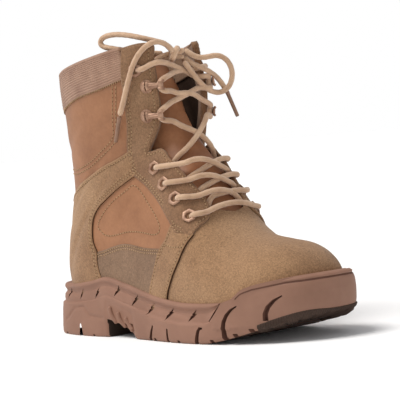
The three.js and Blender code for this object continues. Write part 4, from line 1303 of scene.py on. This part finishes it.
def wall_ring(level):
    low, high, share, lift, heel_in, fore_in, toe_in, rake, stand = level
    toe = blend(92, 112, ring[:, 0])
    heel = 1 - blend(-80, -60, ring[:, 0])
    placed = ring + ring_in * (heel_in * heel + toe_in * toe
                               + fore_in * (1 - heel - toe))[:, None]
    placed[:, 0] += rake * (1 - blend(-156, -110, placed[:, 0]))
    start, end = line_at(LINES[low], placed[:, 0]), line_at(LINES[high], placed[:, 0])
    height = start + (end - start) * share + lift
    if low == "ground":
        # a moulded line runs round both sides of the heel
        off_line = np.abs(height - np.interp(placed[:, 0], *HEEL_LINE))
        on_heel = blend(-130, -126, placed[:, 0]) * (1 - blend(-70, -66, placed[:, 0]))
        placed += ring_in * (0.8 * np.exp(-(off_line / 1.3) ** 2) * on_heel)[:, None]
        # under the waist the wall is scooped out
        scoop = blend(-65, -61, placed[:, 0]) * (1 - blend(-31, -22, placed[:, 0]))
        placed += ring_in * (2.6 * scoop * (1 - blend(0.5, 0.98, share)))[:, None]
    off_groove = np.abs(height - line_at(RAND, placed[:, 0]) + 3.2)
    on_bumper = blend(100, 106, placed[:, 0])
    placed += ring_in * (1.0 * np.exp(-(off_groove / 0.75) ** 2) * on_bumper)[:, None]
    kept = guard[0] + (guard[1] - guard[0]) * blend(0, 1, share if low == "ledge" else 0)
    inside = ((kept - placed) * ring_in).sum(1) - stand
    placed += ring_in * np.minimum(inside, 0)[:, None] * (height > 12)[:, None]
    return np.column_stack([placed, height])


def level_curve(rows, lift, inset):
    """Closed line where the upper's wall, moved in by inset, passes a height line."""
    halves = []
    around = np.linspace(0.02, 1, 500)
    for side in SIDES.values():
        half = []
        for station in np.concatenate([np.linspace(0.3, 7, 70), np.linspace(7.1, 13.4, 130)]):
            points = upper_point(np.full(500, station), side * around, -inset)
            gap = points[:, 2] - line_at(rows, points[:, 0]) - lift
            if gap[0] > 0 > gap.min():
                k = (gap < 0).argmax()
                t = gap[k - 1] / (gap[k - 1] - gap[k])
                half.append(points[k - 1] + (points[k] - points[k - 1]) * t)
        halves.append(half)
    corners = np.array(halves[0] + halves[1][::-1] + halves[0][:1])
    run = np.concatenate([[0], np.cumsum(np.linalg.norm(np.diff(corners, axis=0), axis=1))])
    spots = np.linspace(0, run[-1], 5000)
    return np.stack([np.interp(spots, run, corners[:, k]) for k in range(3)], -1)


def drawn_to(curve, points):
    """The nearest place on a curve, seen from above, for each point."""
    gap = ((points[:, None, :2] - curve[None, :, :2]) ** 2).sum(-1)
    return curve[gap.argmin(1)]


guard = [drawn_to(level_curve(rows, 0, 0), ring)[:, :2] for rows in (SIDE_LEDGE, RAND)]
levels = []
for low, high in zip(WALL_LEVELS, WALL_LEVELS[1:]):
    levels.append(low)
    if low[:2] == high[:2]:
        levels += [low[:2] + tuple(a + (b - a) * t for a, b in zip(low[2:], high[2:]))
                   for t in (1 / 3, 2 / 3)]
walls = [wall_ring(level) for level in levels + WALL_LEVELS[-1:]]
lip = drawn_to(level_curve(RAND, -0.3, 1.0), walls[-1])
lip_start = walls[-1] + (lip - walls[-1]) * 0.25
lip_start[:, 2] = walls[-1][:, 2] + 0.35
cup = drawn_to(level_curve(FLOOR, 0.6, 1.0), walls[-1])
rings = walls + [lip_start, lip, cup]
sole = Mesh()
faces = grid_faces(len(rings), ring_size, closed=True).tolist()
top = (len(rings) - 1) * ring_size
left_side = np.arange(half_count + 1)
right_side = (ring_size - left_side) % ring_size
for k in range(half_count):
    quad = [left_side[k], right_side[k], right_side[k + 1], left_side[k + 1]]
    quad = [int(v) for n, v in enumerate(quad) if v not in quad[:n]]
    faces.append(quad)
    faces.append([top + v for v in quad[::-1]])
# The faces under the sole take the dark tread colour: dark rubber and partly painted shade.
kinds = [0] * len(faces)
for k in range(half_count):
    kinds[len(faces) - 2 * half_count + 2 * k] = 1
sole.add(np.concatenate(rings), faces)
sole.kinds = kinds
sole_piece = merged(sole.make("rubber_sole", [RUBBER, RUBBER_DARK, RUBBER_RECESS_SHADE], "sole_rubber",
                              replaces=["sole"]))


WALL_POINTS = np.concatenate(walls)


def wall_y(x, z, side):
    """Y of the side wall at (x, z)."""
    own = WALL_POINTS[WALL_POINTS[:, 1] * side > 0]
    gap = (own[:, 0] - x) ** 2 + (own[:, 2] - z) ** 2
    near = np.argsort(gap)[:4]
    weight = 1 / (gap[near] + 0.05)
    return (own[near, 1] * weight).sum() / weight.sum()


cutters = Mesh()


def add_prism(outline, start, end, kind=0):
    """Cutter through from start to end, from an outline of (across, height)."""
    count = len(outline)
    start, end = np.array(start, float), np.array(end, float)
    across = unit(np.cross([0, 0, 1.0], start - end))
    points = [place + across * x + np.array([0, 0, z]) for place in (start, end)
              for x, z in outline]
    cutters.add(points, [list(range(count))[::-1], [count + k for k in range(count)]]
                + [[k, (k + 1) % count, count + (k + 1) % count, count + k]
                   for k in range(count)], kind=kind)


def cut_across(outline, kind=0):
    """Cutter straight through from side to side, from an outline of (x, z)."""
    add_prism(outline, (0, -90, 0), (0, 90, 0), kind)


def cut_side(outline, side, depth):
    """Cutter into the side wall, from an outline of (x, z), to a depth below its surface."""
    count = len(outline)
    surface = [wall_y(x, z, side) for x, z in outline]
    inner = [(x, y - side * depth, z) for (x, z), y in zip(outline, surface)]
    outer = [(x, y + side * 4, z) for (x, z), y in zip(outline, surface)]
    cutters.add(inner + outer, [list(range(count)), [count + k for k in range(count)][::-1]]
                + [[k, count + k, count + (k + 1) % count, (k + 1) % count]
                   for k in range(count)])


def tapered(line, widths):
    """Outline of a stroke along a line of (x, z) with a width at each of its points."""
    line = np.array(line, float)
    direction = unit(np.gradient(line, axis=0))
    across = np.stack([-direction[:, 1], direction[:, 0]], -1) * np.array(widths)[:, None] / 2
    return np.concatenate([line + across, (line - across)[::-1]]).tolist()


# The arch opening takes the dark tread colour: dark rubber and partly painted shade for the deep shade
# inside it.
cut_across([(-63.6, -5), (-63.2, 6), (-62.6, 15.2), (-56.6, 14.4), (-50.4, 12.4), (-44.2, 10.6),
            (-38, 8.4), (-33, 6), (-27, 2.6), (-20, -5)], kind=1)
add_prism([(-1.9, -9), (-1.5, 0), (-0.8, 7), (-0.3, 10.5), (0.4, 10.5), (0.9, 7), (1.6, 0),
           (2.0, -9)], (-82, -57, 1.5), (-182, 16, -7))
for x, width, depth in ((-128, 2.6, 2), (-83, 2.6, 2), (6, 3, 2.6), (39, 3, 2.4), (77.5, 3.4, 2.4),
                        (100, 3.6, 2.6), (113, 3.6, 2.6), (133, 3.6, 2.2)):
    low = float(line_at(GROUND, x))
    cut_across([(x - width / 2, -5), (x - width / 2, low + depth), (x + width / 2, low + depth),
                (x + width / 2, -5)])
SIDE_SLITS = [
    ([(5.2, 12.6), (2.6, 8), (0.2, 3.5), (-1.6, -1)], [1.6, 2.6, 3.2, 3.6], 7),
    ([(26, 11), (25.6, 7), (25.2, 3), (25, -1)], [1.8, 2.4, 2.8, 3.2], 4),
    ([(69.5, 12.6), (66.5, 12.4), (64.4, 10), (62.3, 5), (60.2, -1)], [1.2, 2.4, 3.2, 3.8, 4.4], 7)]
CURVED_SLITS = [
    ([(104.5, 29.2), (99.3, 26.2), (95, 22.2), (92.2, 17.5), (90.8, 12), (90.8, 6), (92, 0)],
     [0.8, 2.2, 3.0, 3.6, 4.2, 4.8, 5.4], 5),
    ([(135.4, 35.2), (130.5, 32), (126.4, 27.5), (124.2, 22.5), (123.8, 17.4)],
     [0.8, 2.2, 3.0, 3.4, 3.6], 4)]
ZIGZAG = [(5.8, 4.9), (2.7, 1.5), (5.2, 1.3), (1.4, -1.3), (-5.7, -4.9), (-2.8, -0.9),
          (-0.5, 0.1), (-0.9, 1.2)]
ZIGZAGS = [(-122, 34.8), (-99.5, 35.1), (-74.8, 36.2), (-45.6, 38.6), (-20.9, 31.5), (1.6, 25.4),
           (27.5, 22.1), (57.4, 21.8)]
for side in SIDES.values():
    for line, widths, depth in SIDE_SLITS + CURVED_SLITS:
        cut_side(tapered(line, widths), side, depth)
    for x, z in ZIGZAGS:
        reach = 0.6 + 0.4 * blend(-110, 20, x)
        cut_side([(x + reach * dx, z + dz) for dx, dz in ZIGZAG][::-1], side, 2.2)
    cut_side(tapered([(76.5, 17.5), (80, 20.5), (84.5, 25), (88.5, 29.8), (90.6, 33)],
                     [0.7, 1.1, 1.4, 1.5, 1.6]), side, 1.6)
# Painted shade: the faces cut by these bodies take the darker recess colour.
cutter = cutters.make("sole_cutter", [RUBBER_RECESS_SHADE, RUBBER_DARK], "sole_rubber")
merged(cutter)
carve = sole_piece.modifiers.new("grooves", "BOOLEAN")
carve.operation = "DIFFERENCE"
carve.solver = "MANIFOLD"
carve.material_mode = "TRANSFER"
carve.object = cutter
bpy.context.view_layer.update()
carved = bpy.data.meshes.new_from_object(
    sole_piece.evaluated_get(bpy.context.evaluated_depsgraph_get()))
sole_piece.modifiers.clear()
sole_piece.data = carved
bpy.data.objects.remove(cutter)
print("sole", len(carved.vertices), len(carved.polygons), [m.name for m in carved.materials])
carved.set_sharp_from_angle(angle=math.radians(38))

# Ribs on the wall of the arch, and the fine ribs under the toe.
ribs = Mesh()
ARCH_RIBS = [[(-57.5, 25.5), (-54.8, 18.5), (-50.0, 12)], [(-46, 21.3), (-43.2, 14.8), (-38.4, 9)],
             [(-36.2, 17.5), (-33.2, 11.8), (-28.6, 6)]]
for side in SIDES.values():
    for line in ARCH_RIBS:
        route = smooth_route([(x, wall_y(x, z, side) + side * 0.4, z) for x, z in line], 0.6)
        braided_tube(ribs, route, 2.0, around=16, braid=0.0)
merged(ribs.make("arch_ribs", [RUBBER], "sole_rubber"))

# The toe's own outline at a finer step, with the wall's curve at each of its places.
fine, fine_count = outline_ring(0.5)
fine_step = np.roll(fine, -1, 0) - np.roll(fine, 1, 0)
fine_in = unit(np.stack([-fine_step[:, 1], fine_step[:, 0]], -1))
place_on_ring = np.arange(len(fine)) * half_count / fine_count
before = place_on_ring.astype(int) % ring_size
share = (place_on_ring % 1)[None, :, None]
stack = np.array(walls)
stack = stack[:, before] * (1 - share) + stack[:, (before + 1) % ring_size] * share


def on_wall(columns, height, out):
    """Points on the wall over some places of the fine outline, at heights, moved out."""
    points = np.empty(height.shape + (3,))
    for k, column in enumerate(columns):
        curve = stack[:, column]
        for axis in (0, 1):
            points[:, k, axis] = np.interp(height[:, k], curve[:, 2], curve[:, axis])
    points[..., :2] -= fine_in[columns] * np.asarray(out)[..., None]
    points[..., 2] = height
    return points


TREAD_PITCH, LUG_PITCH = 2.0, 12.0
TREAD_EDGE = [(112, 12.5), (124, 16.4), (131.3, 18.9), (138.3, 21.0), (145.9, 22.8), (151.4, 23.2),
              (156, 22.4)]
columns = np.flatnonzero(fine[:, 0] > 118)
wave = np.cos(np.arange(len(columns)) * 0.5 * 2 * math.pi / TREAD_PITCH)
lugs = np.sin(np.arange(len(columns)) * 0.5 * 2 * math.pi / LUG_PITCH) > -0.6
low = stack[0, columns, 2]
top = np.maximum(line_at(TREAD_EDGE, fine[columns, 0]), low + 1)
share = np.linspace(0, 1, 13)[:, None]
height = low + (top - low) * share
fade = np.clip((1 - share) * 6, 0, 1)
side_outer = on_wall(columns, height, 0.15 + (0.35 + 0.35 * wave) * fade)
side_inner = on_wall(columns, height, -2.0 + 0 * height)
reach = np.linspace(18, 0, 14)[:-1, None]
under = stack[0, columns][None] + np.zeros((len(reach), 1, 1))
under[..., :2] += fine_in[columns][None] * reach[..., None]
under[..., 2] = line_at(GROUND, under[..., 0])
proud = 0.3 + (0.35 + 0.35 * wave + 0.9 * lugs) * np.clip(reach / 2, 0.3, 1)
under_outer, under_inner = under.copy(), under.copy()
under_outer[..., 2] -= proud
under_inner[..., 2] += 1.5
tread = Mesh()
add_sheet(tread, np.concatenate([under_outer, side_outer]),
          np.concatenate([under_inner, side_inner]))
# The toe tread takes the dark tread colour: dark rubber and partly painted shade.
merged(tread.make("toe_tread", [RUBBER_DARK], "sole_rubber"))

# Painted shade: a dark strip at the bottom of the groove round the toe.
columns = np.flatnonzero(fine[:, 0] > 103)
middle = line_at(RAND, stack[-1, columns, 0]) - 3.2
height = middle + np.linspace(-0.55, 0.55, 5)[:, None]
groove_shade = Mesh()
add_sheet(groove_shade, on_wall(columns, height, 0.12 + 0 * height),
          on_wall(columns, height, -0.8 + 0 * height))
merged(groove_shade.make("toe_groove_painted_shade", [RUBBER_RECESS_SHADE], "sole_rubber"))


# ---- Eyelets and hooks ----

def lathe(profile, sides, flats=False):
    """Points and faces of a closed turned form from (radius, height) pairs."""
    angle = (np.arange(sides) + (0.5 if flats else 0)) * 2 * math.pi / sides
    points = [(r * math.cos(a), r * math.sin(a), z) for r, z in profile for a in angle]
    return points, grid_faces(len(profile), sides, closed=True).tolist()


def add_eyelet(mesh, spot, side):
    """Six-sided rolled flange round a round bore, with a barrel through the leather."""
    sides = 48
    angle = np.arange(sides) * 2 * math.pi / sides
    hexagon = 1 / np.cos((angle + math.pi / 6) % (math.pi / 3) - math.pi / 6)
    hexagon = 1 + (hexagon - 1) * 0.85
    profile = [(5.15, 0.0, 1), (5.3, 0.35, 1), (5.2, 0.85, 1), (4.85, 1.15, 1), (4.4, 1.2, 0.8),
               (3.7, 1.2, 0.2), (3.25, 1.05, 0), (3.0, 0.6, 0), (2.9, -0.4, 0), (2.9, -5.2, 0),
               (3.3, -5.2, 0), (3.3, -0.4, 0)]
    points = []
    for radius, height, share in profile:
        r = radius * (1 + (hexagon - 1) * share)
        points.append(np.stack([r * np.cos(angle), r * np.sin(angle),
                                np.full(sides, height)], -1))
    rings = len(profile)
    faces = grid_faces(rings, sides, closed=True).tolist()
    faces += [[(rings - 1) * sides + k, (rings - 1) * sides + (k + 1) % sides, (k + 1) % sides, k]
              for k in range(sides)]
    mesh.add(in_frame(spot, side, LEATHER_TOP + 0.5, np.concatenate(points)), faces)
    # Painted shade: a dark disc down the bore stands for the shade inside the hole.
    dark = [np.stack([3.1 * np.cos(angle), 3.1 * np.sin(angle), np.full(sides, height)], -1)
            for height in (-1.4, -0.9)]
    mesh.add(in_frame(spot, side, LEATHER_TOP + 0.5, np.concatenate(dark)),
             grid_faces(2, sides, closed=True).tolist()
             + [list(range(sides))[::-1], [sides + k for k in range(sides)]], kind=1)


def box_points(x0, x1, half, z0, z1, chamfer=0.35):
    """Plate with chamfered long edges."""
    section = [(-half, z0), (half, z0), (half, z1 - chamfer), (half - chamfer, z1),
               (-half + chamfer, z1), (-half, z1 - chamfer)]
    points = [(x, y, z) for x in (x0, x1) for y, z in section]
    faces = grid_faces(2, 6, closed=True).tolist() + [list(range(6))[::-1],
                                                      [6 + k for k in range(6)]]
    return points, faces


def add_hook(mesh, spot, side):
    """Speed hook: slotted domed rivet, and a strap to a small clip that stands over the lace."""
    sides = 56
    angle = np.arange(sides) * 2 * math.pi / sides
    profile = [(5.3, -0.5), (5.4, 0.5), (5.0, 1.0), (4.2, 1.05), (4.15, 1.9), (3.9, 2.6),
               (3.4, 3.2), (2.7, 3.7), (1.9, 4.0), (1.0, 4.2), (0.05, 4.25)]
    points = np.array([[(r * math.cos(a) + HOOK_SHIFT, r * math.sin(a), z) for a in angle]
                       for r, z in profile])
    slot = (np.abs(points[..., 0] - HOOK_SHIFT) < 0.55) & (points[..., 2] > 1.95)
    points[..., 2] -= 0.8 * slot
    rings = len(profile)
    faces = grid_faces(rings, sides, closed=True)
    faces = faces.tolist() + [list(range(sides))[::-1],
                              [(rings - 1) * sides + k for k in range(sides)]]
    start = len(mesh.kinds)
    mesh.add(in_frame(spot, side, LEATHER_TOP, points.reshape(-1, 3)), faces)
    # Painted shade: the faces of the sunk slot take the dark edge colour.
    for k, face in enumerate(faces):
        mesh.kinds[start + k] = 2 * int(slot.ravel()[face].all())
    plates = [(4.5, 10.5, 2.2, 0.2, 3.3), (5, 15.5, 1.9, 3.0, 4.0), (5.2, 13, 0.55, 3.9, 4.5),
              (13.6, 17.6, 3.2, 3.1, 4.3)]
    for x0, x1, half, z0, z1 in plates:
        points, faces = box_points(x0, x1, half, z0, z1)
        mesh.add(in_frame(spot, side, LEATHER_TOP, points), faces)
    for y in (-2.9, 2.9):
        route = in_frame(spot, side, LEATHER_TOP, [
            (13.2, y * 0.8, 3.9), (15.5, y, 4.4), (17.6, y * 1.1, 4.0), (18.4, y * 1.1, 2.8)])
        braided_tube(mesh, smooth_route(route, 0.5), 0.95, around=12, braid=0.0)


LEATHER_TOP = 2.1
HOOK_SHIFT = 2.0
fittings = Mesh()
names = []
for side_name, side in SIDES.items():
    for row, spot in EYELETS.items():
        add_eyelet(fittings, spot, side)
        names.append(f"eyelet_{side_name}_{row}")
    for row, spot in HOOKS.items():
        add_hook(fittings, spot, side)
        names.append(f"hook_{side_name}_{row}")
merged(fittings.make("eyelets_and_hooks", [FITTING, HOLE, EDGE], "fittings", replaces=names, sharp=35))
